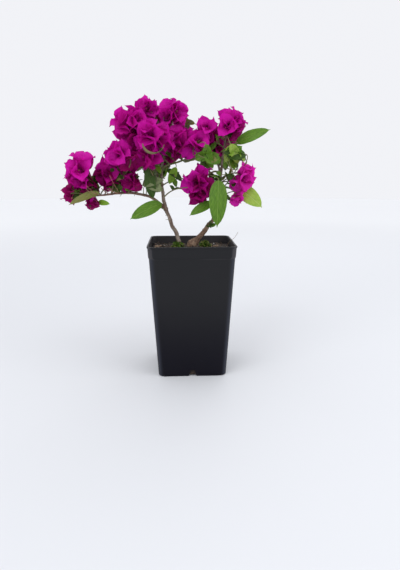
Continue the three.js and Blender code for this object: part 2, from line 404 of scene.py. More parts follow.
@dataclass(frozen=True)
class LeafSkin:
    """Leaf: one tint for a whole spray, with a pale midrib, arching side veins and a soft gloss."""

    name: str
    colour: Colour
    deep: Colour
    vein: Colour
    roughness: float = 0.44
    glow: float = 0.2

    def build(self) -> bpy.types.Material:
        """Make the material."""
        g = Graph(self.name)
        across, along = g.blade_map()
        side = abs(across - 0.5)
        at = g.node("ShaderNodeCombineXYZ", sockets={0: across, 1: along, 2: 0.0})[0]
        ribs = ((along - side * 0.9) * 38).sine().ease(0.82, 1.0) * side.ease(0.02, 0.08)
        midrib = side.ease(0.03, 0.008)
        lines = (ribs * 0.45 + midrib).least(1.0)
        cloud = g.noise(7, 4, (1, 1, 1), at)
        colour = g.mix(cloud.ease(0.35, 0.75), self.colour, self.deep)
        colour = g.mix(lines * 0.5, colour, self.vein)
        bump = g.relief(1 - lines * 0.8 + cloud * 0.3, 0.4)
        return g.finish(colour, self.roughness + cloud * 0.18, bump, self.glow, Specular_IOR_Level=0.34)


@dataclass(frozen=True)
class FlowerTube:
    """Slender flower tube: pink at its foot and paler towards its shut mouth."""

    foot: Colour = (0.3, 0.012, 0.1)
    mouth: Colour = (0.44, 0.16, 0.14)

    def build(self) -> bpy.types.Material:
        """Make the material."""
        g = Graph("flower_tube")
        _, along = g.blade_map()
        colour = g.mix((along + g.noise(700, 2) * 0.3).ease(0.35, 1.1), self.foot, self.mouth)
        return g.finish(colour, 0.6, g.relief(g.noise(1200, 2), 0.1))


class BractTint(Enum):
    """Tints of the heads as painted light and shade, from those in full light to the deepest."""

    PALE = BractPaper("bract_pale", (0.76, 0.018, 0.48), (0.42, 0.003, 0.2), (0.86, 0.12, 0.6))
    BRIGHT = BractPaper("bract_bright", (0.65, 0.004, 0.395), (0.33, 0.001, 0.13), (0.8, 0.06, 0.53))
    CLEAR = BractPaper("bract_clear", (0.52, 0.002, 0.28), (0.26, 0.001, 0.095), (0.64, 0.03, 0.36))
    DEEP = BractPaper("bract_deep", (0.4, 0.0015, 0.185), (0.19, 0.001, 0.062), (0.52, 0.02, 0.26))
    WINE = BractPaper("bract_wine", (0.32, 0.0015, 0.12), (0.14, 0.001, 0.04), (0.42, 0.02, 0.18))


class LeafTint(Enum):
    """Tints of the leaves."""

    FRESH = LeafSkin("leaf_fresh", (0.19, 0.36, 0.022), (0.125, 0.27, 0.016), (0.38, 0.52, 0.1))
    GREEN = LeafSkin("leaf_green", (0.1, 0.225, 0.012), (0.06, 0.155, 0.008), (0.25, 0.4, 0.07))
    DARK = LeafSkin("leaf_dark", (0.045, 0.1, 0.01), (0.022, 0.06, 0.006), (0.12, 0.21, 0.04))
    LIME = LeafSkin("leaf_lime", (0.3, 0.44, 0.06), (0.22, 0.36, 0.04), (0.48, 0.58, 0.2))
    GREY = LeafSkin("leaf_grey", (0.22, 0.265, 0.12), (0.15, 0.19, 0.085), (0.36, 0.4, 0.24), 0.6)
    OLIVE = LeafSkin("leaf_olive", (0.2, 0.21, 0.05), (0.135, 0.15, 0.035), (0.34, 0.35, 0.14), 0.5)
    DRY = LeafSkin("leaf_dry", (0.22, 0.19, 0.09), (0.14, 0.11, 0.05), (0.34, 0.3, 0.17), 0.65)


class WoodTint(Enum):
    """Bark of the old stems and of the green shoots."""

    STUMP = WoodyBark("bark_stump", (0.2, 0.115, 0.07), (0.32, 0.22, 0.15), (0.07, 0.038, 0.024))
    STEM = WoodyBark("bark_stem", (0.225, 0.165, 0.125), (0.36, 0.3, 0.25), (0.085, 0.052, 0.036))
    BOUGH = WoodyBark("bark_bough", (0.17, 0.09, 0.06), (0.34, 0.235, 0.17), (0.055, 0.026, 0.018))
    SHOOT = WoodyBark(
        "bark_shoot", (0.17, 0.15, 0.065), (0.28, 0.25, 0.13), (0.085, 0.06, 0.03), (0.13, 0.2, 0.045)
    )
    PEDICEL = WoodyBark("pedicel", (0.36, 0.09, 0.1), (0.4, 0.2, 0.16), (0.24, 0.03, 0.07), (0.3, 0.2, 0.1))
    STALK = WoodyBark(
        "flower_stalk", (0.2, 0.16, 0.07), (0.3, 0.2, 0.13), (0.13, 0.05, 0.05), (0.2, 0.26, 0.08)
    )


class Bit(Enum):
    """What lies on the potting mix."""

    CHIP = Fleck("bark_chip", (0.022, 0.014, 0.01), (0.085, 0.056, 0.038), 420)
    PALE_CHIP = Fleck("bark_chip_pale", (0.11, 0.07, 0.042), (0.32, 0.22, 0.145), 420)
    PERLITE = Fleck("perlite", (0.62, 0.6, 0.56), (0.86, 0.85, 0.82), 900)
    FIBRE = Fleck("dry_fibre", (0.16, 0.11, 0.06), (0.36, 0.27, 0.17), 500)


# ------------------------------------------------------------------------------------------- shapes by arrays


def unit(vectors: Array) -> Array:
    """Vectors scaled to length 1 along their last axis."""
    return vectors / np.linalg.norm(vectors, axis=-1, keepdims=True).clip(1e-9)


def potted(points: Array) -> Array:
    """Places in the bush, as places in the pot: shifted to the right, then turned about the pot's axis."""
    x, y, z = np.moveaxis(points + (BUSH_SHIFT, 0, 0), -1, 0)
    cos, sin = np.cos(BUSH_TURN), np.sin(BUSH_TURN)
    return np.stack([x * cos - y * sin, x * sin + y * cos, z], -1)


def planted(points: Array) -> Array:
    """Places in the pot, as places in the bush: the reverse of potted."""
    x, y, z = np.moveaxis(np.asarray(points, float), -1, 0)
    cos, sin = np.cos(BUSH_TURN), np.sin(BUSH_TURN)
    return np.stack([x * cos + y * sin, y * cos - x * sin, z], -1) - (BUSH_SHIFT, 0, 0)


def mass_box(node: str) -> tuple[Array, Array]:
    """Middle and half sizes of a mass of the frame, as places in the bush."""
    low, high = (np.array(corner) / MM - (0, 0, RIM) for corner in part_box(node))
    return planted((low + high) / 2), (high - low) / 2


def mass_axes(node: str) -> tuple[Array, Array, Array]:
    """Middle, own directions and half sizes of a mass of the frame, as places in the bush.

    The directions are those in which the mass's points spread most, next and least.
    """
    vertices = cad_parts[node].data.vertices
    places = np.empty(3 * len(vertices), np.float32)
    vertices.foreach_get("co", places)
    points = planted(places.reshape(-1, 3) / MM - (0, 0, RIM))
    middle = points.mean(0)
    ways = np.linalg.svd(points - middle, full_matrices=False)[2]
    along = (points - middle) @ ways.T
    low, high = along.min(0), along.max(0)
    return middle + (low + high) / 2 @ ways, ways, (high - low) / 2


def spread_ways(rng: np.random.Generator, outward: Array, count: int, widest: float) -> Array:
    """Directions spread evenly round one way, up to the widest angle from it.

    They follow a golden spiral, in which every direction gets the same share of the cap, and each is
    shifted a little by the seed.
    """
    place = (np.arange(count) + 0.5) / count
    lean = np.arccos(1 - place * (1 - np.cos(widest)))[:, None]
    turn = (np.arange(count) * 2.4 + rng.uniform(0, 2 * np.pi))[:, None]
    first = unit(np.cross(outward, (0.3, 0.2, 1)))
    second = np.cross(outward, first)
    ring = first * np.cos(turn) + second * np.sin(turn)
    return unit(outward * np.cos(lean) + ring * np.sin(lean) + rng.normal(0, 0.12, (count, 3)))


def ease(values: Array, low: float, high: float) -> Array:
    """Rise smoothly from 0 at low to 1 at high."""
    share = ((np.asarray(values) - low) / (high - low)).clip(0, 1)
    return share * share * (3 - 2 * share)


class Noise:
    """Seeded value noise: random numbers on a lattice, blended smoothly between its points."""

    SIZE = 32

    def __init__(self, seed: int) -> None:
        """Fill the lattice from a seed."""
        self.lattice = np.random.default_rng(seed).uniform(-1, 1, (self.SIZE,) * 3)

    def at(self, points: Array) -> Array:
        """Noise between -1 and 1 at points whose last axis is x, y, z.

        Each of the eight lattice values round a point counts by the product, over the three axes, of a
        smooth step of how near the point is.
        """
        low = np.floor(points).astype(int)
        share = points - low
        share = share * share * (3 - 2 * share)
        total = np.zeros(points.shape[:-1])
        for corner in np.ndindex(2, 2, 2):
            offset = np.array(corner)
            weight = np.where(offset == 1, share, 1 - share).prod(-1)
            index = (low + offset) % self.SIZE
            total += weight * self.lattice[index[..., 0], index[..., 1], index[..., 2]]
        return total

    def layered(self, points: Array, layers: int = 3) -> Array:
        """Sum of layers, each twice as fine and half as strong as the one before."""
        return sum(self.at(points * 2.0**layer + 7.3 * layer) * 0.5**layer for layer in range(layers))


def smooth_path(points: Sequence[Sequence[float]], count: int) -> Array:
    """A smooth curve through points, as this many points evenly spaced along it.

    The curve is a Catmull-Rom spline: each span is the cubic whose slope at its ends is half the step
    between their neighbours.
    """
    given = np.asarray(points, float)
    line = np.vstack([2 * given[0] - given[1], given, 2 * given[-1] - given[-2]])
    share = np.linspace(0, 1, 24, endpoint=False)[:, None, None]
    a, b, c, d = line[:-3], line[1:-2], line[2:-1], line[3:]
    cubic = 0.5 * (
        2 * b + (c - a) * share + (2 * a - 5 * b + 4 * c - d) * share**2 + (3 * b - a - 3 * c + d) * share**3
    )
    dense = np.vstack([cubic.transpose(1, 0, 2).reshape(-1, 3), given[-1:]])
    length = np.concatenate([[0], np.cumsum(np.linalg.norm(np.diff(dense, axis=0), axis=1))])
    places = np.linspace(0, length[-1], count)
    return np.stack([np.interp(places, length, dense[:, axis]) for axis in range(3)], -1)


def cubics(start: Array, lead: Array, arrive: Array, end: Array, count: int) -> Array:
    """Cubic curves that leave their starts towards one place and reach their ends from another.

    At share t of the way, the four places count by (1 - t)^3, 3 t (1 - t)^2, 3 t^2 (1 - t) and t^3.
    """
    share = np.linspace(0, 1, count)[None, :, None]
    return (
        start[:, None] * (1 - share) ** 3
        + 3 * lead[:, None] * share * (1 - share) ** 2
        + 3 * arrive[:, None] * share**2 * (1 - share)
        + end[:, None] * share**3
    )


def side_frames(paths: Array) -> tuple[Array, Array, Array]:
    """Directions along and across paths.

    Args:
        paths: Points whose last two axes are the place on a path and x, y, z.

    Returns:
        The tangent at each point and two directions square to it. The first of these is the part of a
        fixed axis that is square to the tangent; the axis is the one least in line with the whole path.
    """
    tangent = unit(np.gradient(paths, axis=-2))
    run = np.abs(paths[..., -1, :] - paths[..., 0, :])
    axis = np.eye(3)[np.argmin(run, axis=-1)][..., None, :]
    first = unit(axis - (axis * tangent).sum(-1, keepdims=True) * tangent)
    return tangent, first, np.cross(tangent, first)


@dataclass
class Batch:
    """Grids of points gathered into one mesh, with a finish for each grid.

    The points are places in the bush, or places in the pot where `on_bush` is false.
    """

    name: str
    slot: str
    on_bush: bool = True
    finishes: list[Any] = field(default_factory=list)
    points: list[Array] = field(default_factory=list)
    loops: list[NDArray[np.int64]] = field(default_factory=list)
    totals: list[NDArray[np.int64]] = field(default_factory=list)
    maps: list[Array] = field(default_factory=list)
    dress: list[NDArray[np.int64]] = field(default_factory=list)
    count: int = 0

    def add(self, grids: Array, chart: Array, finishes: Iterable[Any], closed: bool = False) -> None:
        """Add grids of points that share one layout.

        Args:
            grids: Points as grid, row, column, x y z.
            chart: Map coordinates as row, column, u v. A closed grid has one more column here.
            finishes: The finish of each grid.
            closed: Whether the last column joins the first, as round a limb. Such a grid gets end caps.
        """
        number, rows, columns = grids.shape[:3]
        across = columns if closed else columns - 1
        row, column = (index.ravel() for index in np.mgrid[: rows - 1, :across])
        following = (column + 1) % columns
        corners = np.stack([row * columns + column, row * columns + following], -1)
        quads = np.concatenate([corners, corners[:, ::-1] + columns], 1)
        charted = np.stack([chart[row, column], chart[row, column + 1],
                            chart[row + 1, column + 1], chart[row + 1, column]], 1)
        loops, totals, maps = quads.ravel(), np.full(len(quads), 4), charted.reshape(-1, 2)
        if closed:
            foot = np.arange(columns)[::-1]
            loops = np.concatenate([loops, foot, foot[::-1] + (rows - 1) * columns])
            totals = np.concatenate([totals, [columns, columns]])
            maps = np.concatenate([maps, chart[0, foot], chart[-1, foot[::-1]]])
        size = rows * columns
        starts = self.count + size * np.arange(number)
        self.points.append(grids.reshape(-1, 3))
        self.loops.append((loops[None] + starts[:, None]).ravel())
        self.totals.append(np.tile(totals, number))
        self.maps.append(np.tile(maps, (number, 1)))
        self.dress.append(np.repeat([self._index(finish) for finish in finishes], len(totals)))
        self.count += number * size

    def _index(self, finish: Any) -> int:
        """The place of a finish in the mesh's list."""
        if finish not in self.finishes:
            self.finishes.append(finish)
        return self.finishes.index(finish)

    def build(self, wardrobe: "Wardrobe", replaced: Sequence[str] = ()) -> bpy.types.Object:
        """Make the mesh and its object, which rides on the frame.

        Args:
            wardrobe: Where each finish gets its material.
            replaced: Nodes of the frame that the piece stands for.

        Returns:
            The new object.
        """
        loops, totals = np.concatenate(self.loops), np.concatenate(self.totals)
        points = np.concatenate(self.points)
        points = potted(points) if self.on_bush else points
        mesh = bpy.data.meshes.new(self.name)
        mesh.vertices.add(len(points))
        mesh.vertices.foreach_set("co", ((points + (0, 0, RIM)) * MM).ravel())
        mesh.loops.add(len(loops))
        mesh.loops.foreach_set("vertex_index", loops)
        mesh.polygons.add(len(totals))
        mesh.polygons.foreach_set("loop_start", np.concatenate([[0], np.cumsum(totals)[:-1]]))
        mesh.polygons.foreach_set("material_index", np.concatenate(self.dress))
        mesh.polygons.foreach_set("use_smooth", np.ones(len(totals), bool))
        mesh.uv_layers.new(name=UV_MAP).data.foreach_set("uv", np.concatenate(self.maps).ravel())
        mesh.update(calc_edges=True)
        for finish in self.finishes:
            mesh.materials.append(wardrobe.material(finish))
        piece = bpy.data.objects.new(self.name, mesh)
        bpy.context.scene.collection.objects.link(piece)
        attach(piece, "root")
        if replaced:
            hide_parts(*replaced)
        LOG.info("%s: %d points, %d faces", self.name, len(points), len(totals))
        return piece


class Wardrobe:
    """Keeps one material for each finish."""

    def __init__(self) -> None:
        """Start empty."""
        self.made: dict[str, bpy.types.Material] = {}

    def material(self, finish: Any) -> bpy.types.Material:
        """The material of a finish or of an Enum member that holds one."""
        finish = finish.value if isinstance(finish, Enum) else finish
        key = repr(finish)
        if key not in self.made:
            self.made[key] = finish.build()
        return self.made[key]


def tubes(paths: Array, radii: Array, sides: int) -> tuple[Array, Array]:
    """Round tubes along paths.

    Args:
        paths: Points as tube, place, x y z.
        radii: Radius as tube, place or tube, place, side.
        sides: Points round each tube.

    Returns:
        The grids, and a map that runs once round and from 0 to 1 along. A point is the path's plus the
        radius times the cosine and sine of its angle along the two directions square to the path.
    """
    _, first, second = side_frames(paths)
    angle = np.linspace(0, 2 * np.pi, sides, endpoint=False)[:, None]
    ring = first[..., None, :] * np.cos(angle) + second[..., None, :] * np.sin(angle)
    radii = radii[..., None] if radii.ndim == 2 else radii
    grids = paths[..., None, :] + ring * radii[..., None]
    rows = np.linspace(0, 1, paths.shape[1])
    chart = np.stack(np.meshgrid(np.linspace(0, 1, sides + 1), rows), -1)
    return grids, chart


def tube_piece(
    wardrobe: Wardrobe, name: str, slot: str, paths: Array, radii: Array | float, sides: int, finish: Any,
    on_bush: bool = True, repeats: int = 1,
) -> None:
    """Make a piece of round tubes that share one finish.

    Args:
        wardrobe: Where the finish gets its material.
        name: Name of the piece.
        slot: Kept on the batch; it is not used.
        paths: Points as tube, place, x y z.
        radii: One radius for all places, one for each, or one for each place of each tube.
        sides: Points round each tube.
        finish: What all the tubes wear.
        on_bush: Whether the points are places in the bush.
        repeats: How often the map runs from 0 to 1 along a tube.
    """
    grids, chart = tubes(paths, np.broadcast_to(radii, paths.shape[:2]), sides)
    batch = Batch(name, slot, on_bush)
    batch.add(grids, chart * (1, repeats), [finish] * len(paths), closed=True)
    batch.build(wardrobe)


@dataclass(frozen=True)
class Outline:
    """Outline of a blade: its half width is the place along it to one power times the rest to another.

    Over the last stretch, whose length is point, the blade narrows further to a drawn-out tip.
    """

    base: float
    tip: float
    rows: int
    columns: int
    point: float = 0.16

    def chart(self) -> tuple[Array, Array, Array]:
        """Places along the blade, places across it and the share of the full width, which is never nil."""
        even = np.linspace(0, 1, self.rows)
        along = 0.5 * even + 0.5 * (1 - np.cos(np.pi * even)) / 2
        peak = self.base / (self.base + self.tip)
        most = peak**self.base * (1 - peak) ** self.tip
        share = along**self.base * (1 - along) ** self.tip / most
        share = share * (0.16 + 0.84 * ease(1 - along, 0, self.point))
        return along, np.linspace(-1, 1, self.columns), share.clip(0.02)


@dataclass
class Blades:
    """Many blades of one outline. Each field but the first holds one value for each blade."""

    outline: Outline
    foot: Array
    tip: Array
    face: Array
    width: Array
    bend: Array
    hook: Array
    fold: Array
    cup: Array
    wave: Array
    waves: Array
    phase: Array
    twist: Array

    def grids(self) -> tuple[Array, Array]:
        """The blades' points and their map.

        The midrib bends back by an angle that grows along it: bend times the place to the power 1.3, plus
        hook times the place to the power 6. It is turned and scaled so that it ends at the tip. Across it
        a point rises by fold times its distance out, by cup times the square of that, which fades along
        the blade, by two waves that are strongest at the margin and by shallow dents in between. The
        blade turns about its midrib by twist from foot to tip.
        """
        along, across, share = self.outline.chart()
        u, v = along[None, :, None], across[None, None, :]
        shaping = (self.width, self.bend, self.hook, self.fold, self.cup, self.wave, self.waves)
        width, bend, hook, fold, cup, wave, waves = (values[:, None, None] for values in shaping)
        phase, twist = self.phase[:, None, None], self.twist[:, None, None]
        turn = bend * u**1.3 + hook * u**6
        step = np.diff(along, prepend=0)[None, :, None]
        ahead, up = np.cumsum(np.cos(turn) * step, 1), -np.cumsum(np.sin(turn) * step, 1)
        tilt = np.arctan2(up[:, -1:], ahead[:, -1:])
        line = self.tip - self.foot
        length = np.linalg.norm(line, axis=1)[:, None, None] / np.hypot(up[:, -1:], ahead[:, -1:])
        reach = width / 2 * share[None, :, None]
        out, belly = v * reach, np.sin(np.pi * u)
        ripple = np.sin(2 * np.pi * waves * u + phase + 2.1 * np.sign(v) + 1.3 * v)
        flutter = np.sin(2 * np.pi * 2.3 * waves * u + 1.7 * phase + 4.0 * v)
        dents = np.sin(6.1 * u + 3.4 * v + 2 * phase) * np.sin(4.7 * u - 3.9 * v + 3 * phase)
        rise = (
            fold * np.abs(out) * (1 - 0.4 * u)
            + cup * reach * v**2 * (1 - 0.65 * u)
            + wave * width * (v**2 * ripple + 0.6 * v**4 * flutter) * (0.25 + 0.75 * belly)
            + wave * width * 0.8 * belly * dents
        )
        roll = twist * u
        side = out * np.cos(roll) - rise * np.sin(roll)
        lift = out * np.sin(roll) + rise * np.cos(roll)
        local = np.stack([side, ahead * length + lift * np.sin(turn), up * length + lift * np.cos(turn)], -1)
        way = unit(line)
        normal = unit(self.face - (self.face * way).sum(-1, keepdims=True) * way)
        tilt = tilt[:, 0]
        lead = way * np.cos(tilt) - normal * np.sin(tilt)
        raised = normal * np.cos(tilt) + way * np.sin(tilt)
        axes = np.stack([np.cross(lead, raised), lead, raised], 1)
        grids = self.foot[:, None, None] + np.einsum("nrca,nab->nrcb", local, axes)
        sideways = 0.5 + 0.5 * across[None, :] * share[:, None]
        return grids, np.stack(np.broadcast_arrays(sideways, along[:, None]), -1)


# ------------------------------------------------------------------------------------------------------ pot


@dataclass
class NurseryPot:
    """A tall square pot of thin moulded plastic."""

    top: float = 140.0
    foot: float = 112.0
    height: float = RIM
    corner: float = 11.0
    wall: float = 1.3
    band: float = 18.0
    band_step: float = 0.9
    lip: float = 2.4
    lip_step: float = 0.8
    floor: float = 3.0
    recess: float = 1.2
    bow: float = 0.9
    notch_width: float = 8.4
    notch_spread: float = 2.8
    notch_height: float = 11.5
    notch_depth: float = 11.0

    def profile(self) -> Array:
        """The wall's section as rows of half width, height and corner radius, from underside to floor."""
        slope = (self.top / 2 - self.band_step - self.lip_step - self.foot / 2) / self.height
        h, band, under_lip = self.height, self.height - self.band, self.height - self.lip
        corner, step = self.corner, self.band_step

        def out(z: float) -> float:
            """Half width of the plain wall at a height."""
            return self.foot / 2 + slope * z

        lip_half = out(h) + step + self.lip_step
        rows = [
            (0.2, self.recess, 0.1), (out(0) - 12, self.recess, 8), (out(0) - 9, 0.3, 9),
            (out(0) - 8.4, 0, 9), (out(0) - 1.6, 0, corner), (out(0) - 0.5, 0.5, corner),
            (out(1.6), 1.6, corner),
        ]
        rows += [(out(z), z, corner) for z in np.linspace(4, band - 3, 26)]
        rows += [
            (out(band - 2.4), band - 2.4, corner), (out(band) + 0.13 * step, band - 1.4, corner),
            (out(band) + 0.5 * step, band - 0.3, corner), (out(band) + 0.87 * step, band + 0.8, corner),
            (out(band) + step, band + 1.7, corner),
        ]
        rows += [(out(z) + step, z, corner) for z in np.linspace(band + 3.5, under_lip - 1.2, 5)]
        rows += [
            (out(h) + step + 0.1, under_lip - 0.5, corner), (lip_half - 0.2, under_lip + 0.1, corner),
            (lip_half, under_lip + 0.5, corner), (lip_half, h - 0.5, corner),
            (lip_half - 0.4, h - 0.05, corner), (lip_half - 0.9, h, corner),
            (lip_half - self.wall - 0.5, h, corner - 1),
            (lip_half - self.wall - 0.9, h - 0.4, corner - 1),
        ]
        inside = step - self.wall
        rows += [(out(z) + inside, z, corner - 1) for z in np.linspace(h - 3, band + 2, 6)]
        rows += [(out(z) - self.wall, z, corner - 1) for z in np.linspace(band - 1, self.floor + 2, 12)]
        rows += [(out(0) - self.wall - 2, self.floor, corner - 2), (0.2, self.floor, 0.1)]
        return np.array(rows)

    def ring(self) -> tuple[Array, Array, Array]:
        """Once round a square: corner positions, outward directions and how far from a corner, 0 to 1."""
        angle = np.linspace(0, np.pi / 2, 9)
        along = np.linspace(0, 1, 20)[1:-1]
        spot = np.vstack([np.ones((9, 2)), np.stack([1 - 2 * along, np.ones(18)], -1)])
        way = np.vstack([np.stack([np.cos(angle), np.sin(angle)], -1), np.tile([0.0, 1.0], (18, 1))])
        middle = np.concatenate([np.zeros(9), 4 * along * (1 - along)])
        turns = [_quarter_turn(quarter) for quarter in range(4)]
        return (np.vstack([spot @ t for t in turns]), np.vstack([way @ t for t in turns]), np.tile(middle, 4))

    def build(self, wardrobe: Wardrobe) -> bpy.types.Object:
        """Make the pot.

        A point is its ring's corner position times the half width less the corner radius, plus the outward
        direction times that radius. The flat sides bow in a little, most at mid height.
        """
        rows = self.profile()
        spot, way, middle = self.ring()
        half, height, corner = (rows[:, column, None, None] for column in range(3))
        plan = (half - corner) * spot + corner * way
        depth = self.bow * np.sin(np.pi * (height / self.height).clip(0, 1)) ** 1.5 * middle[:, None]
        waver = 0.35 * np.sin(3.1 * height / self.height * np.pi + 2.2 * np.arctan2(spot[:, 1:], spot[:, :1]))
        plan = plan - way * (depth + waver * ease(half, 30, 50) * middle[:, None])
        grid = np.concatenate([plan, np.broadcast_to(height - RIM, plan.shape[:2] + (1,))], -1)
        batch = Batch("nursery_pot", "pot", on_bush=False)
        chart = np.stack(np.meshgrid(np.linspace(0, 1, len(spot) + 1), np.linspace(0, 1, len(rows))), -1)
        batch.add(grid[None], chart, [PotPlastic()], closed=True)
        piece = batch.build(wardrobe, ["pot"])
        self._cut_notches(piece)
        piece.data.polygons.foreach_set("use_smooth", np.ones(len(piece.data.polygons), bool))
        return piece

    def _cut_notches(self, piece: bpy.types.Object) -> None:
        """Cut a drainage notch, wider at its foot, into the foot of each side."""
        for quarter in range(4):
            foot, crown = self.notch_width / 2 + self.notch_spread, self.notch_width / 2
            outer, inner, tall = -self.foot / 2 - 4, -self.foot / 2 + self.notch_depth, self.notch_height
            front = [
                (-foot, -1), (foot, -1), (crown + 0.6, tall * 0.6), (crown - 1.6, tall), (1.6 - crown, tall),
                (-crown - 0.6, tall * 0.6),
            ]
            points = np.array([(x, y, z) for y in (outer, inner) for x, z in front])
            points[:, :2] = points[:, :2] @ _quarter_turn(quarter)
            faces = [tuple(range(6)), tuple(range(11, 5, -1))]
            faces += [(k, k + 6, (k + 1) % 6 + 6, (k + 1) % 6) for k in range(6)]
            mesh = bpy.data.meshes.new("notch_cutter")
            mesh.from_pydata((points * MM).tolist(), [], faces)
            cutter = bpy.data.objects.new("notch_cutter", mesh)
            bpy.context.scene.collection.objects.link(cutter)
            cut = piece.modifiers.new("notch", "BOOLEAN")
            cut.operation, cut.object, cut.solver = "DIFFERENCE", cutter, "EXACT"
            graph = bpy.context.evaluated_depsgraph_get()
            shaped = bpy.data.meshes.new_from_object(
                piece.evaluated_get(graph), preserve_all_data_layers=True, depsgraph=graph
            )
            piece.modifiers.clear()
            piece.data = shaped
            bpy.data.objects.remove(cutter)


def _quarter_turn(quarter: int) -> Array:
    """The matrix that turns rows of x, y by this many quarter turns."""
    turn = np.array([[0.0, 1.0], [-1.0, 0.0]])
    return np.linalg.matrix_power(turn, quarter)


# ----------------------------------------------------------------------------------------------- potting mix


@dataclass
class PottingMix:
    """The potting mix: the frame's own solid below, and over it a crumbly surface with bits on top."""

    half: float = 65.2
    drop: float = 13.2
    corner: float = 9.0
    seed: int = 5
    points: int = 190
    chips: int = 260
    pale_chips: int = 34
    grains: int = 30
    fibres: int = 70
    peels: int = 10

    def height(self, x: Array, y: Array) -> Array:
        """Height of the surface from the rim: broad humps, lumps and crumbs, banked up to the stems."""
        noise = Noise(self.seed)
        at = np.stack([x, y, np.zeros_like(x)], -1)
        broad = noise.layered(at / 34, 2) * 2.0
        lumps = noise.layered(at / 7.5 + 40, 3) * 1.15 + np.maximum(noise.at(at / 4.2 + 90), 0) * 1.1
        bank = 3.2 * np.exp(-(x**2 / 700 + y**2 / 500))
        return -self.drop + broad + lumps + bank

    def build(self, wardrobe: Wardrobe) -> None:
        """Make the surface and scatter what lies on it.

        The square grid's corners are drawn in to lie within the pot's round ones: by 2.4 times what a
        round corner falls short of a square one along each side. The edge turns down all round.
        """
        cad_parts["potting_mix"].material_slots[0].material = wardrobe.material(PottingCrumb())
        side = np.linspace(-1, 1, self.points)
        a, b = np.meshgrid(side, side)
        short = (1 - 1 / np.sqrt(2)) * self.corner
        pull = 1 - 2.4 * short / self.half * (a * b) ** 12
        x, y = a * self.half * pull, b * self.half * pull
        edge = np.maximum(np.abs(a), np.abs(b))
        z = self.height(x, y) - 6 * ease(edge, 0.985, 1.0)
        batch = Batch("potting_mix_surface", "soil", on_bush=False)
        chart = np.stack([(a + 1) / 2, (b + 1) / 2], -1)
        batch.add(np.stack([x, y, z], -1)[None], chart, [PottingCrumb()])
        batch.build(wardrobe)
        self._scatter(wardrobe)

    def _scatter(self, wardrobe: Wardrobe) -> None:
        """Scatter bark chips, perlite grains and dry fibres over the surface."""
        rng = np.random.default_rng(self.seed)
        chips = Batch("bark_chips", "soil", on_bush=False)
        kinds = ((Bit.CHIP, self.chips, (1.2, 3.4), 0.45), (Bit.PALE_CHIP, self.pale_chips, (1.0, 2.8), 0.4))
        for bit, count, size, flat in kinds:
            grids, chart = self._pebbles(rng, count, size, flat)
            chips.add(grids, chart, [bit] * count, closed=True)
        chips.build(wardrobe)
        self._peels(wardrobe)
        grains = Batch("perlite_grains", "soil", on_bush=False)
        grids, chart = self._pebbles(rng, self.grains, (0.6, 1.4), 0.85)
        grains.add(grids, chart, [Bit.PERLITE] * self.grains, closed=True)
        grains.build(wardrobe)
        start = rng.uniform(-0.93, 0.93, (self.fibres, 2)) * self.half
        way = rng.uniform(0, 2 * np.pi, self.fibres)
        steps = np.linspace(-1, 1, 7)[None, :, None] * rng.uniform(2.5, 7, (self.fibres, 1, 1))
        heading = np.stack([np.cos(way), np.sin(way)], -1)[:, None]
        bent = np.stack([-heading[..., 1], heading[..., 0]], -1) * steps**2 * 0.05
        plan = (start[:, None] + heading * steps + bent).clip(-self.half, self.half)
        paths = np.concatenate([plan, self.height(plan[..., 0], plan[..., 1])[..., None] + 0.7], -1)
        tube_piece(wardrobe, "dry_fibres", "soil", paths, 0.24, 5, Bit.FIBRE, on_bush=False)

    def _peels(self, wardrobe: Wardrobe) -> None:
        """Two heaps of curled pale bark: strips rolled round arcs that lie across one another."""
        rng = np.random.default_rng(self.seed + 1)
        heaps = np.array([(0.6, 0.0), (-0.85, 0.0)]) * self.half
        each = (self.peels, 1)
        middle = np.repeat(heaps, self.peels // 2, axis=0) + rng.normal(0, 3.4, (self.peels, 2)) * (1, 0.6)
        turn, lean = rng.uniform(0, 2 * np.pi, self.peels), rng.uniform(-0.5, 0.5, each)
        bow = np.linspace(-1, 1, 11) * rng.uniform(0.7, 1.3, each)
        reach = rng.uniform(3.2, 5.4, each)
        along, rise = np.sin(bow) * reach, np.cos(bow) * reach * 0.6 + bow * lean
        x = middle[:, :1] + along * np.cos(turn)[:, None]
        y = middle[:, 1:] + along * np.sin(turn)[:, None]
        paths = np.stack([x, y, self.height(x, y) + rise], -1)
        thick = 0.5 + 0.9 * np.sin(np.pi * np.linspace(0.05, 0.95, 11))
        tube_piece(wardrobe, "bark_peels", "soil", paths, thick, 7, Bit.PALE_CHIP, on_bush=False)

    def _pebbles(
        self, rng: np.random.Generator, count: int, size: Sequence[float], flat: float
    ) -> tuple[Array, Array]:
        """Small uneven lumps, each a ball of five rings whose radius jumps from point to point."""
        x, y = rng.uniform(-0.94, 0.94, (2, count)) * self.half
        centre = np.stack([x, y, self.height(x, y) + 0.3], -1)
        around = np.linspace(0, 2 * np.pi, 7, endpoint=False)
        tall = np.array([-0.96, -0.55, 0.1, 0.62, 0.97])
        wide = np.sqrt(1 - tall**2)
        ball = np.stack([wide[:, None] * np.cos(around), wide[:, None] * np.sin(around),
                         np.broadcast_to(tall[:, None], (5, 7))], -1)
        rough = rng.uniform(0.66, 1.15, (count, 5, 7, 1))
        overall = rng.uniform(*size, (count, 1, 1, 1))
        long, broad, thick = (rng.uniform(*span, count) for span in ((0.9, 1.7), (0.55, 1), (0.7, 1.1)))
        lengths = overall * np.stack([long, broad, thick * flat], -1)[:, None, None]
        turn = _random_turns(rng, count, 0.5)
        grids = centre[:, None, None] + np.einsum("nrca,nab->nrcb", ball * rough * lengths, turn)
        return grids, np.stack(np.meshgrid(np.linspace(0, 1, 8), np.linspace(0, 1, 5)), -1)


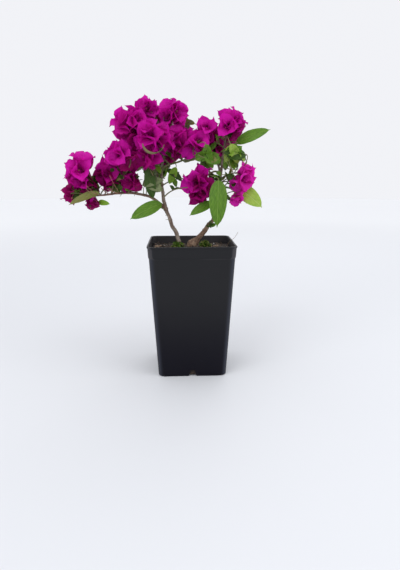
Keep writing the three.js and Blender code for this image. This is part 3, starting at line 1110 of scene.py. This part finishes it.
def _random_turns(rng: np.random.Generator, count: int, tilt: float) -> Array:
    """Matrices that turn freely about Z and then lean by up to about this tilt."""
    spin = rng.uniform(0, 2 * np.pi, count)
    up = unit(np.concatenate([rng.normal(0, tilt, (count, 2)), np.ones((count, 1))], 1))
    flat = np.stack([np.cos(spin), np.sin(spin), np.zeros(count)], -1)
    first = unit(flat - (flat * up).sum(-1, keepdims=True) * up)
    return np.stack([first, np.cross(up, first), up], 1)


# ------------------------------------------------------------------------------------------------------ wood


@dataclass(frozen=True)
class Limb:
    """One woody limb: its path, its radius at foot and tip, and how far it grows on past the path's end.

    The paths are typed again from the frame's source. The trunk and the left stem start deeper in the
    mix here, the trunk goes on to the right stem, and the two nodes of the arching bough are one limb.
    """

    path: tuple[Point, ...]
    foot: float
    tip: float
    flare: float = 0.0
    finish: WoodTint = WoodTint.STEM
    grows_on: float = 0.0

    def centre(self, count: int) -> Array:
        """Evenly spaced points along the limb, which grows on the way that its path ends."""
        path = np.array(self.path, float)
        ahead = unit(path[-1] - path[-2]) * self.grows_on
        return smooth_path(np.vstack([path, path[-1] + ahead]) if self.grows_on else path, count)


LIMBS: dict[str, Limb] = {
    "trunk": Limb(((-1, 1, -20), (-1, 1, -9), (1, 1, -4), (9, 1, 3)), 9.0, 5.0, 3.0, WoodTint.STUMP),
    "left_stem": Limb(
        ((-19.5, 1, -17), (-19.5, 1, -9), (-21.3, 0.5, 0), (-26.5, 0, 13.5), (-33.5, -1, 29), (-42, -2, 52)),
        3.2, 2.9, 1.4,
    ),
    "right_stem": Limb(
        ((2, 1, -6), (13.5, 1, 8), (24.5, 0, 21.5), (36, 0, 37)), 4.6, 2.9, 1.4, WoodTint.STUMP,
    ),
    "arching_bough": Limb(
        ((-42, -2, 51), (-50, -4, 60), (-61, -7, 69), (-78, -11, 76), (-104, -17, 79), (-128, -21, 77),
         (-148, -24, 75)), 2.4, 1.2, 0.8, WoodTint.BOUGH, 16,
    ),
    "upright_bough": Limb(
        ((-42, -2, 50), (-47, 0, 78), (-49, 2, 104), (-46, 4, 132)), 3.0, 1.6, 0.6, grows_on=20,
    ),
    "cross_bough": Limb(
        ((-48, 2, 117), (-35, 0, 123), (-14, -2, 129), (4, -4, 137)), 1.6, 1.0, 0.5, WoodTint.SHOOT, 14,
    ),
    "right_bough": Limb(
        ((35, 0, 36), (42, 2, 62), (46, 4, 90), (48, 4, 118), (52, 2, 148), (55, 0, 166)), 2.7, 1.4, 0.3,
        grows_on=10,
    ),
    "low_left_bough": Limb(((47, 4, 110), (36, -6, 112), (24, -13, 106)), 1.6, 1.0, 0.5, WoodTint.SHOOT),
    "low_right_bough": Limb(((46, 4, 98), (58, 0, 107), (68, -6, 106)), 1.6, 1.0, 0.5, WoodTint.SHOOT),
    "rear_left_bough": Limb(((-48, 1, 90), (-60, 22, 112), (-68, 40, 132)), 1.9, 1.0, 0.5, grows_on=26),
    "rear_right_bough": Limb(((47, 4, 98), (44, 24, 120), (36, 42, 138)), 1.9, 1.0, 0.5, grows_on=26),
    "leaf_bough": Limb(((-42, -2, 51), (-50, -6, 55), (-58, -9, 55)), 1.3, 0.7, 0.5, WoodTint.SHOOT),
}


@dataclass
class Wood:
    """The trunk, stems and boughs, with the relief of their bark."""

    sides: int = 30
    step: float = 0.75  # length of one straight piece
    joint: float = 13.0  # length of limb between two old leaves
    pedicels: int = 7
    pedicel_reach: Point = (-11.0, -36.0, 14.0)  # from a pedicel's foot to its end
    thorns: tuple[tuple[str, int], ...] = (
        ("arching_bough", 5), ("upright_bough", 5), ("right_bough", 4), ("left_stem", 2),
    )
    seed: int = 21

    def build(self, wardrobe: Wardrobe) -> None:
        """Make one mesh of all limbs, one of their thorns and one of the reddish stalks."""
        batch = Batch("trunk_and_boughs", "bark")
        for limb in LIMBS.values():
            length = np.linalg.norm(np.diff(limb.centre(40), axis=0), axis=1).sum()
            count = max(12, int(length / self.step))
            path = self._wander(limb.centre(count), limb)
            grid, chart = tubes(path[None], self._radii(limb, path, length)[None], self.sides)
            chart = chart * (1, length / 24)
            batch.add(grid, chart, [limb.finish], closed=True)
        batch.build(wardrobe, list(LIMBS) + ["arching_bough_end"])
        self._thorns(wardrobe)
        self._pedicels(wardrobe)

    def _pedicels(self, wardrobe: Wardrobe) -> None:
        """Thin reddish stalks that rise forwards from the outer half of the arching bough."""
        rng = np.random.default_rng(self.seed + 1)
        bough = LIMBS["arching_bough"].centre(40)
        foot = bough[rng.choice(np.arange(22, 36), self.pedicels, replace=False)]
        reach = np.array(self.pedicel_reach) + rng.normal(0, (4, 4, 6), (self.pedicels, 3))
        share = np.linspace(0, 1, 14)[None, :, None]
        paths = foot[:, None] + reach[:, None] * share - np.array([0, 0, 8]) * share * (1 - share)
        tube_piece(wardrobe, "pedicels", "bark", paths, 0.5, 6, WoodTint.PEDICEL)

    def _wander(self, path: Array, limb: Limb) -> Array:
        """The path with the small kinks that a limb has at each old leaf."""
        places = np.linspace(0, len(path) * self.step / self.joint, len(path))
        swings = (np.sin(places * np.pi + 0.7), np.cos(places * 2.4), np.sin(places * np.pi * 0.93))
        kink = np.stack(swings, -1)
        fade = np.minimum(places, 1)[:, None]
        return path + kink * fade * min(0.62, 0.2 * limb.tip)

    def _radii(self, limb: Limb, path: Array, length: float) -> Array:
        """Radius at each place and side.

        It runs from the foot radius to the tip radius with a flare that fades over the first tenth. On
        that ride swellings at the old leaf joints, long ridges that wander round the limb, and fine
        roughness. The last three points close the tip.
        """
        count = len(path)
        along = np.linspace(0, 1, count)[:, None]
        angle = np.linspace(0, 2 * np.pi, self.sides, endpoint=False)[None]
        noise = Noise(self.seed)
        radius = limb.foot + (limb.tip - limb.foot) * along + limb.flare * np.exp(-along * length / 5.5)
        ring = np.stack(np.broadcast_arrays(np.cos(angle), np.sin(angle), along * 0), -1)
        at = ring * radius[..., None] + np.array([0, 0, 1]) * (along * length)[..., None]
        ridges = noise.layered(at * (0.62, 0.62, 0.11), 2) * 0.1
        rough = noise.layered(at * (1.3, 1.3, 0.75) + 30, 3) * 0.07
        joint = (along * length + 3.0) / self.joint
        swell = 0.16 * np.exp(-(((joint % 1) - 0.5) ** 2) / 0.008)
        sided = 0.5 + 0.5 * np.cos(angle - np.pi * np.floor(joint) - 0.6)
        radius = radius * (1 + ridges + rough + swell * (0.35 + sided))
        closing = np.sqrt(np.clip((count - 1 - np.arange(count)) / 3, 0.02, 1))[:, None]
        return radius * closing

    def _thorns(self, wardrobe: Wardrobe) -> None:
        """Thorns on the stems and boughs: short tapering spikes that curve a little."""
        rng = np.random.default_rng(self.seed)
        feet, ways = [], []
        for name, number in self.thorns:
            path = LIMBS[name].centre(30)
            for place in rng.choice(np.arange(9, 28), number, replace=False):
                feet.append(tuple(path[place]))
                ways.append(tuple(rng.normal(0, 1, 3)))
        foot, way = np.array(feet, float), unit(np.array(ways))
        reach = rng.uniform(4.5, 7.5, len(foot))[:, None, None] * np.linspace(0, 1, 6)[None, :, None]
        droop = np.array([0, 0, -0.035]) * reach**2
        paths = foot[:, None] + way[:, None] * (reach + 1.2) + droop
        radii = 0.62 * (1 - np.linspace(0, 0.95, 6)) ** 0.8
        tube_piece(wardrobe, "thorns", "bark", paths, radii, 7, WoodTint.SHOOT)


# ----------------------------------------------------------------------------------------------------- heads


@dataclass(frozen=True)
class Head:
    """One head: its throat, the tips of its three bracts and its tint."""

    throat: Array
    tips: Array
    tint: BractTint


PALE_MASSES = ("bracts_lower_right", "bracts_lower_right_tip")


def bract_masses() -> list[str]:
    """The frame's masses of bracts."""
    return sorted(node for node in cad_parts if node.startswith("bracts_"))


@dataclass
class Heads:
    """All heads of bracts, grown in the masses of the frame, with their flower tubes and twigs.

    Each head takes about one patch of its mass's surface, which is first moved out by the swell. Its
    bracts are as long as real ones where the mass is large enough, and their tips lie near that surface.
    """

    outline: Outline = Outline(0.42, 0.72, 13, 7, 0.2)
    patch: float = 640.0  # the surface that one head takes, in square millimetres
    swell: float = 2.5
    length: tuple[float, float] = (28.0, 36.0)
    longest: float = 1.25  # longest bract as a share of the way from a mass's middle to its surface
    lean: float = 1.75  # widest angle between a head and its mass's way out, in radians
    outlook: Point = (0.0, -16.0, 8.0)  # added to the way out of the crown: forwards and up
    opening: tuple[float, float] = (32.0, 50.0)  # between a head's axis and its bracts, in degrees
    widest: float = 50.0
    wide: float = 0.88  # width of a bract as a share of its length
    sunny_side: Point = (-0.6, -0.3, 0.8)
    shade_height: float = 240.0  # a head this much higher than another is lighter by 1
    tint_steps: tuple[float, ...] = (-0.32, -0.08, 0.14)  # the light at which each next tint begins
    seed: int = 11
    heads: list[Head] = field(default_factory=list)
    twigs: Array = field(default_factory=lambda: np.zeros((0, 14, 3)))

    def plan(self) -> list[Head]:
        """Grow heads in every mass of bracts."""
        rng = np.random.default_rng(self.seed)
        crown = np.mean([mass_box(node)[0] for node in bract_masses()], axis=0)
        self.heads = [head for node in bract_masses() for head in self.grow(rng, node, crown)]
        return self.heads

    def grow(self, rng: np.random.Generator, node: str, crown: Array) -> list[Head]:
        """Heads for one mass, turned out of the crown.

        The three tips of a head lie at even angles round its axis, each the bract's length away at the
        opening angle.

        Args:
            rng: Deals out the differences between them.
            node: The mass.
            crown: The middle of the crown.

        Returns:
            The heads.
        """
        centre, half = mass_box(node)
        half = half + self.swell
        cover = 2 * np.pi * half.mean() ** 2 * (1 - np.cos(self.lean))
        count = max(3, round(cover / self.patch))
        ways = spread_ways(rng, unit(centre - crown + self.outlook), count, self.lean)
        reach = 1 / np.linalg.norm(ways / half, axis=1)
        size = np.minimum(rng.uniform(*self.length, count), self.longest * reach)
        open_by = np.radians(rng.uniform(*self.opening, count))
        depth = 0.9 * reach * rng.uniform(0.86, 1.04, count) - size * np.cos(open_by)
        at = centre + ways * depth[:, None] + rng.normal(0, 0.08, (count, 3)) * half
        roll = rng.uniform(0, 2 * np.pi, (count, 1)) + np.arange(3) * 2 * np.pi / 3
        roll = roll + rng.normal(0, 0.15, (count, 3))
        across = unit(np.cross(ways, (0.2, 0.5, 0.9)))[:, None]
        ring = across * np.cos(roll)[..., None] + np.cross(ways[:, None], across) * np.sin(roll)[..., None]
        lead, out = (size * part(open_by) for part in (np.cos, np.sin))
        tips = at[:, None] + ways[:, None] * lead[:, None, None] + ring * out[:, None, None]
        facing = ways @ unit(np.array(self.sunny_side))
        height = (centre[2] - crown[2]) / self.shade_height
        # painted light and shade: higher heads facing the sunny side get lighter tints, with a random spread
        light = 0.45 * facing + height + 0.08 + rng.normal(0, 0.18, count)
        return [Head(*head) for head in zip(at, tips, self._tints(node, light))]

    def _tints(self, node: str, light: Array) -> list[BractTint]:
        """A tint of painted light and shade for each head, by its height and how far it faces the sunny side.
        """
        if node in PALE_MASSES:
            return [BractTint.PALE] * len(light)
        scale = (BractTint.WINE, BractTint.DEEP, BractTint.CLEAR, BractTint.BRIGHT)
        return [scale[step] for step in np.digitize(light, self.tint_steps)]

    def _sink(self, at: Array, tips: Array) -> Array:
        """Throats moved back along their axes until no head opens wider than the widest angle."""
        gap = tips - at[:, None]
        axis = unit(unit(gap).sum(1))
        ahead = (gap * axis[:, None]).sum(-1)
        ring = np.linalg.norm(gap - ahead[..., None] * axis[:, None], axis=-1).mean(1)
        lack = ring / np.tan(np.radians(self.widest)) - ahead.mean(1)
        return at - axis * lack.clip(0)[:, None]

    def build(self, wardrobe: Wardrobe) -> None:
        """Make the bracts, tubes and twigs."""
        rng = np.random.default_rng(self.seed + 1)
        at, axis, outward, size, blades = self._blades(rng)
        batch = Batch("bracts", "bracts")
        batch.add(*blades.grids(), [head.tint for head in self.heads for _ in range(3)])
        batch.build(wardrobe, bract_masses())
        self._tubes(wardrobe, rng, at, axis, outward, size.mean(1))
        self._twigs(wardrobe, rng, at, axis)

    def _blades(self, rng: np.random.Generator) -> tuple[Array, Array, Array, Array, Blades]:
        """The bracts, with small differences between them.

        Returns:
            The heads' throats, their axes, the way each bract leans out, the bracts' lengths and the bracts.
        """
        tips = np.array([head.tips for head in self.heads])
        at = self._sink(np.array([head.throat for head in self.heads]), tips)
        ways = unit(tips - at[:, None])
        axis = unit(ways.sum(1))
        outward = unit(ways - (ways * axis[:, None]).sum(-1, keepdims=True) * axis[:, None])
        size = np.linalg.norm(tips - at[:, None], axis=-1)
        opening = np.arccos((ways * axis[:, None]).sum(-1).clip(-1, 1)).ravel()
        number = opening.size
        foot = (at[:, None] - axis[:, None] * 2 + outward * 1.1).reshape(-1, 3)
        blades = Blades(
            outline=self.outline,
            foot=foot,
            tip=tips.reshape(-1, 3),
            face=np.repeat(axis, 3, 0),
            width=size.ravel() * self.wide * rng.uniform(0.92, 1.08, number),
            bend=0.7 + opening * 0.6 + rng.normal(0, 0.3, number),
            hook=rng.uniform(-0.4, 0.5, number),
            fold=rng.uniform(0.02, 0.22, number),
            cup=(0.8 - opening * 0.4).clip(0.1, 0.7) + rng.normal(0, 0.1, number),
            wave=rng.uniform(0.05, 0.11, number),
            waves=rng.uniform(0.9, 1.8, number),
            phase=rng.uniform(0, 2 * np.pi, number),
            twist=rng.normal(0, 0.2, number),
        )
        return at, axis, outward, size, blades

    def _tubes(
        self, wardrobe: Wardrobe, rng: np.random.Generator,
        at: Array, axis: Array, outward: Array, size: Array,
    ) -> None:
        """Three slender flower tubes in each head, swollen at the foot and at the closed mouth."""
        foot = at[:, None] - axis[:, None] * 2 + outward * 2.2
        lean = unit(axis[:, None] + outward * rng.uniform(0.15, 0.4, outward.shape[:2])[..., None])
        reach = (size[:, None] * rng.uniform(0.34, 0.46, outward.shape[:2])).reshape(-1, 1, 1)
        share = np.linspace(0, 1, 9)
        paths = foot.reshape(-1, 1, 3) + lean.reshape(-1, 1, 3) * reach * share[None, :, None]
        at_foot, at_mouth = np.exp(-((share - 0.22) ** 2) / 0.02), np.exp(-((share - 0.86) ** 2) / 0.012)
        thick = (0.75 + 0.45 * at_foot + 0.55 * at_mouth) * np.sqrt(np.clip((1 - share) / 0.1, 0.02, 1))
        tube_piece(wardrobe, "flower_tubes", "bracts", paths, thick, 8, FlowerTube())

    def _twigs(self, wardrobe: Wardrobe, rng: np.random.Generator, at: Array, axis: Array) -> None:
        """A twig from the nearest lower place on a limb to each head, leaving towards the head and upwards.
        """
        line = np.vstack([limb.centre(40)[8:] for name, limb in LIMBS.items() if name != "trunk"])
        gap = at[:, None] - axis[:, None] * 4 - line[None]
        cost = np.linalg.norm(gap, axis=-1) + 40 * (gap[..., 2] < 4) + rng.normal(0, 7, gap.shape[:2])
        foot = line[np.argmin(cost, axis=1)]
        tip = at - axis * 3.5
        span = np.linalg.norm(tip - foot, axis=1)[:, None]
        leave = foot + unit(tip - foot + np.array([0, 0, 0.6]) * span) * span * 0.4
        arrive = tip - axis * span * 0.35
        self.twigs = cubics(foot, leave, arrive, tip, 14)
        thick = np.interp(np.linspace(0, 1, 14), [0, 0.5, 1], [1.15, 0.8, 0.62])
        thick = thick * rng.uniform(0.85, 1.1, (len(foot), 1))
        tube_piece(wardrobe, "flowering_twigs", "bark", self.twigs, thick, 8, WoodTint.SHOOT, repeats=2)


# ---------------------------------------------------------------------------------------------------- leaves


SINGLE_LEAVES: dict[str, LeafTint] = {
    "leaf_low_left": LeafTint.GREEN,
    "leaf_left_end": LeafTint.OLIVE,
    "leaf_cross": LeafTint.GREY,
    "leaf_far_right": LeafTint.GREEN,
    "leaf_big": LeafTint.GREEN,
    "leaf_behind_big": LeafTint.GREEN,
    "leaf_low_right": LeafTint.LIME,
}
SPRAYS: dict[str, tuple[LeafTint, ...]] = {
    "leaves_centre": (LeafTint.DARK, LeafTint.GREEN, LeafTint.DARK, LeafTint.GREY),
    "leaves_centre_right": (LeafTint.GREEN, LeafTint.FRESH, LeafTint.DARK),
    "leaves_bridge": (LeafTint.GREEN, LeafTint.DARK, LeafTint.OLIVE),
    "leaves_right": (LeafTint.GREEN, LeafTint.FRESH, LeafTint.GREEN, LeafTint.DARK, LeafTint.LIME),
    "leaf_inner": (LeafTint.GREEN, LeafTint.DARK),
    "leaves_stem": (LeafTint.DARK, LeafTint.GREEN),
    "leaf_top": (LeafTint.OLIVE, LeafTint.GREY),
    "leaves_rear_left": (LeafTint.DARK, LeafTint.GREEN, LeafTint.FRESH),
    "leaves_rear_right": (LeafTint.DARK, LeafTint.GREEN, LeafTint.FRESH),
    "leaves_back": (LeafTint.DARK, LeafTint.GREEN, LeafTint.FRESH),
}


TWIG_LEAVES = {LeafTint.DARK: 0.4, LeafTint.GREEN: 0.35, LeafTint.OLIVE: 0.15, LeafTint.FRESH: 0.1}
GROUND_LEAVES = {LeafTint.GREEN: 0.45, LeafTint.OLIVE: 0.4, LeafTint.DARK: 0.15}


def dealt(rng: np.random.Generator, shares: dict[LeafTint, float], count: int) -> list[LeafTint]:
    """Tints dealt out by their shares."""
    tints = list(shares)
    return [tints[step] for step in rng.choice(len(tints), count, p=list(shares.values()))]


@dataclass
class Foliage:
    """The leaves: one in each pointed mass of the frame, a spray in each other, and some along the twigs."""

    outline: Outline = Outline(0.62, 0.86, 12, 7)
    patch: float = 480.0  # the surface of a mass that one leaf takes, in square millimetres
    longest: float = 40.0  # longest leaf of a spray
    forward: float = -12.0  # how far the tip of a single leaf comes forward
    full: float = 1.65  # width of a single leaf as a share of its mass's half width
    seed: int = 31

    def build(self, wardrobe: Wardrobe, twigs: Array) -> None:
        """Make all blades and stalks."""
        rng = np.random.default_rng(self.seed)
        blades = Batch("leaves", "leaves")
        wood = np.vstack([limb.centre(60)[6:] for limb in LIMBS.values()] + [twigs[:, :12].reshape(-1, 3)])
        grown = [self._single(blades, rng, wood)]
        grown += [self._spray(blades, rng, node) for node in SPRAYS]
        feet, ways = zip(*grown)
        self._along_twigs(blades, rng, twigs)
        blades.build(wardrobe, [*SINGLE_LEAVES, *SPRAYS])
        self._stalks(wardrobe, np.vstack(feet), np.vstack(ways), wood)
        self._curl(wardrobe)

    def _single(self, batch: Batch, rng: np.random.Generator, wood: Array) -> tuple[Array, Array]:
        """A leaf along each pointed mass, from the end nearer to the wood, with its tip a little forward.

        Returns:
            The leaves' feet and the ways that they run.
        """
        feet, tips, faces, widths = [], [], [], []
        for node in SINGLE_LEAVES:
            middle, ways, half = mass_axes(node)
            ends = middle + np.outer((1, -1), ways[0] * half[0])
            far = np.linalg.norm(ends[:, None] - wood[None], axis=-1).min(1)
            feet.append(ends[np.argmin(far)])
            tips.append(ends[np.argmax(far)] + (0, self.forward, 0))
            faces.append(ways[2] * np.sign(ways[2] @ (0, -1, 0.5)) + (0, 0, 0.35))
            widths.append(self.full * half[1])
        foot, tip, face, width = (np.array(part) for part in (feet, tips, faces, widths))
        made = self._blades(rng, foot, tip, face, width, (0.3, 0.8), (0.12, 0.3), (0, 0.5))
        batch.add(*made.grids(), list(SINGLE_LEAVES.values()))
        return foot, unit(tip - foot)

    def _spray(self, batch: Batch, rng: np.random.Generator, node: str) -> tuple[Array, Array]:
        """Leaves that hang outwards from a mass's middle, with their tips at its surface.

        Returns:
            The leaves' feet and the ways that they run.
        """
        centre, half = mass_box(node)
        front = -1.0 if centre[1] < 20 else 1.0
        count = max(4, round(4 * np.pi * half.mean() ** 2 / self.patch))
        way = unit(spread_ways(rng, unit(np.array([0, 0.3 * front, -1.0])), count, 2.1) * (1, 0.5, 1))
        reach = 1 / np.linalg.norm(way / half, axis=1)
        length = np.minimum(1.9 * reach, self.longest) * rng.uniform(0.7, 1, count)
        tip = centre + way * (reach * rng.uniform(0.85, 1.15, count))[:, None]
        foot = tip - way * length[:, None] + rng.uniform(-0.6, 0.6, (count, 3)) * half
        face = np.array([0, front, 0.45]) + rng.normal(0, 0.42, (count, 3))
        width = length * rng.uniform(0.46, 0.58, count)
        made = self._blades(rng, foot, tip, face, width, (0.3, 0.9), (0.1, 0.35), (0, 0.6))
        tints = SPRAYS[node]
        batch.add(*made.grids(), [tints[step] for step in rng.integers(len(tints), size=count)])
        return foot, unit(tip - foot)

    def _blades(
        self, rng: np.random.Generator, foot: Array, tip: Array, face: Array, width: Array,
        bend: tuple[float, float], fold: tuple[float, float], hook: tuple[float, float],
    ) -> Blades:
        """Blades whose bend, fold and hook lie between two values each, with small changes to the rest."""
        number = len(foot)
        return Blades(
            outline=self.outline,
            foot=foot,
            tip=tip,
            face=face,
            width=width,
            bend=rng.uniform(*bend, number),
            fold=rng.uniform(*fold, number),
            hook=rng.uniform(*hook, number),
            cup=rng.uniform(-0.1, 0.15, number),
            wave=rng.uniform(0.01, 0.04, number),
            waves=rng.uniform(1.2, 2.4, number),
            phase=rng.uniform(0, 2 * np.pi, number),
            twist=rng.normal(0, 0.15, number),
        )

    def _stalks(self, wardrobe: Wardrobe, feet: Array, ways: Array, line: Array) -> None:
        """A stalk for each leaf, curving from the nearest place on a limb or twig into the blade's foot."""
        gap = np.linalg.norm(feet[:, None] - line[None], axis=-1)
        start = line[np.argmin(gap, axis=1)]
        span = gap.min(axis=1)[:, None]
        lead, arrive = start + (feet - start) * 0.4, feet - ways * span * 0.35
        paths = cubics(start, lead, arrive, feet + ways * 1.2, 8)
        tube_piece(wardrobe, "leaf_stalks", "leaves", paths, np.linspace(0.75, 0.55, 8), 6, WoodTint.STALK)

    def _along_twigs(self, batch: Batch, rng: np.random.Generator, twigs: Array) -> None:
        """Two small leaves on each twig, each turned to a random side."""
        place = rng.integers(2, 8, (len(twigs), 2))
        foot = np.take_along_axis(twigs, place[..., None], 1).reshape(-1, 3)
        ahead = np.take_along_axis(np.gradient(twigs, axis=1), place[..., None], 1).reshape(-1, 3)
        side = np.cross(unit(ahead), unit(rng.normal(0, 1, foot.shape)))
        way = unit(unit(ahead) * 0.5 + unit(side) + np.array([0, 0, -0.15]))
        number = len(foot)
        length = rng.uniform(12, 21, number)
        face = np.cross(way, unit(rng.normal(0, 1, foot.shape))) + np.array([0, 0, 0.8])
        tip, width = foot + way * length[:, None], length * rng.uniform(0.42, 0.58, number)
        made = self._blades(rng, foot, tip, face, width, (0.2, 0.9), (0.1, 0.4), (0, 0.6))
        batch.add(*made.grids(), dealt(rng, TWIG_LEAVES, number))

    def _curl(self, wardrobe: Wardrobe) -> None:
        """A narrow leaf that has dried to a curl in front of the middle: a tapering tube on a hanging arc."""
        centre, half = mass_box("bracts_centre_heart")
        angle = np.linspace(1.05, 1.92, 44) * np.pi
        arc = np.stack([np.cos(angle), 0.35 * np.sin(angle), np.sin(angle)], -1)
        path = centre - (0, half[1] + 3, 6) + arc * 0.62 * half.mean()
        place = np.linspace(0, 1, 44)
        thick = 0.55 + 1.5 * np.sin(np.pi * (place / 0.62).clip(0.04, 1)) ** 0.8
        tube_piece(wardrobe, "curled_leaf", "leaves", path[None], thick, 8, LeafTint.DRY)


@dataclass
class GroundShoots:
    """The two low green cushions of tiny leaves round the foot of the stems, and a dry stalk at the side."""

    outline: Outline = Outline(0.5, 0.55, 5, 3)
    seed: int = 41
    count: int = 520

    def build(self, wardrobe: Wardrobe) -> None:
        """Make the tiny leaves and the stalk."""
        rng = np.random.default_rng(self.seed)
        batch = Batch("ground_shoots", "leaves")
        for node in ("shoots_left", "shoots_right"):
            centre, half = mass_box(node)
            way = unit(rng.normal(0, 1, (self.count, 3)) * (1, 1, 0.8) + (0, 0, 0.75))
            way[:, 2] = np.abs(way[:, 2])
            dome = half * (0.9, 0.9, 1.8) * rng.uniform(0.6, 0.95, (self.count, 1))
            foot = centre - (0, 0, half[2]) + way * dome
            heading = unit(way * 0.7 + rng.normal(0, 0.55, way.shape))
            length = rng.uniform(2.2, 4.4, self.count)
            none = np.zeros(self.count)
            made = Blades(
                outline=self.outline,
                foot=foot,
                tip=foot + heading * length[:, None],
                face=way + (0, 0, 0.4),
                width=length * 0.72,
                bend=none + 0.5,
                hook=none,
                fold=none + 0.15,
                cup=none,
                wave=none + 0.02,
                waves=none + 1,
                phase=none,
                twist=none,
            )
            batch.add(*made.grids(), dealt(rng, GROUND_LEAVES, self.count))
        batch.build(wardrobe, ["shoots_left", "shoots_right"])
        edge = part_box("pot")[1].x / MM
        rise = np.linspace(0, 1, 26)
        height = 26 * rise + 2 * np.sin(2 * np.pi * rise) - 12
        path = np.stack([edge - 12 + 19 * rise, 12 - 4 * rise, height], -1)
        tube_piece(wardrobe, "dry_stalk", "bark", path[None], 0.28, 6, Bit.FIBRE)


# ---------------------------------------------------------------------------------------------------- studio


def from_rim(at: Point) -> Vector:
    """A place measured from the rim, in metres from the pot's underside."""
    return Vector(at) * MM + Vector((0, 0, RIM * MM))


@dataclass
class Studio:
    """A pale floor, soft lights and the camera. Places are measured from the rim."""

    camera_at: Point = (-22.7, -769.8, 108.0)
    pitch: float = 13.39
    turn: float = -2.8
    lens: float = 29.43
    floor: Colour = (0.7, 0.715, 0.738)
    far_glow: Colour = (0.235, 0.235, 0.235)
    aim: Point = (-20.0, 0.0, 60.0)  # what the lamps point at
    lamp_size: float = 1100.0
    floor_radius: float = 6.0  # in metres

    def build(self) -> None:
        """Set the stage."""
        scene = bpy.context.scene
        scene.view_settings.view_transform = "Standard"
        self._floor()
        self._sky(scene)
        self._lamp("key", (-900, -1100, 1300), 9.5)
        self._lamp("fill", (1200, -700, 700), 6)
        self._lamp("back", (300, 1300, 1100), 4)
        camera = bpy.data.objects.new("camera", bpy.data.cameras.new("camera"))
        camera.data.lens, camera.data.sensor_width, camera.data.sensor_fit = self.lens, 36.0, "AUTO"
        camera.location = from_rim(self.camera_at)
        camera.rotation_euler = (np.radians(90 - self.pitch), 0, np.radians(self.turn))
        camera.data.clip_start = 0.01
        scene.collection.objects.link(camera)
        scene.camera = camera

    def _floor(self) -> None:
        """A wide pale disc under the pot."""
        angle = np.linspace(0, 2 * np.pi, 96, endpoint=False)
        rim = np.stack([np.cos(angle), np.sin(angle), np.zeros(96)], -1) * self.floor_radius
        mesh = bpy.data.meshes.new("floor")
        mesh.from_pydata(rim.tolist(), [], [tuple(range(96))])
        g = Graph("floor")
        mottle = g.noise(1.5, 2)
        away = g.node("ShaderNodeVectorMath", {"operation": "LENGTH"}, {0: g.place()})[1]
        glow = g.mix(away.ease(0.5, 3.0), (0.02, 0.02, 0.022), self.far_glow)
        colour = g.mix(mottle * 0.1, self.floor, (0.67, 0.685, 0.71))
        mesh.materials.append(g.finish(colour, 0.7, Emission_Color=glow, Emission_Strength=1.0))
        floor = bpy.data.objects.new("floor", mesh)
        bpy.context.scene.collection.objects.link(floor)

    def _sky(self, scene: bpy.types.Scene) -> None:
        """Even pale light from all round."""
        world = bpy.data.worlds.new("studio")
        world.use_nodes = True
        background = world.node_tree.nodes["Background"]
        background.inputs["Color"].default_value = (0.885, 0.893, 0.93, 1)
        background.inputs["Strength"].default_value = 1.0
        scene.world = world

    def _lamp(self, name: str, at: Point, power: float) -> None:
        """A square soft light aimed at the crown."""
        data = bpy.data.lights.new(name, "AREA")
        data.size, data.energy = self.lamp_size * MM, power
        lamp = bpy.data.objects.new(name, data)
        lamp.location = from_rim(at)
        way = from_rim(self.aim) - lamp.location
        lamp.rotation_euler = way.to_track_quat("-Z", "Y").to_euler()
        bpy.context.scene.collection.objects.link(lamp)


def main() -> None:
    """Build the bush in its pot and the studio round it."""
    logging.basicConfig(level=logging.INFO, format="%(name)s %(message)s")
    wardrobe = Wardrobe()
    Studio().build()
    NurseryPot().build(wardrobe)
    PottingMix().build(wardrobe)
    Wood().build(wardrobe)
    heads = Heads()
    LOG.info("%d heads", len(heads.plan()))
    heads.build(wardrobe)
    Foliage().build(wardrobe, heads.twigs)
    GroundShoots().build(wardrobe)


if __name__ == "__main__":
    main()
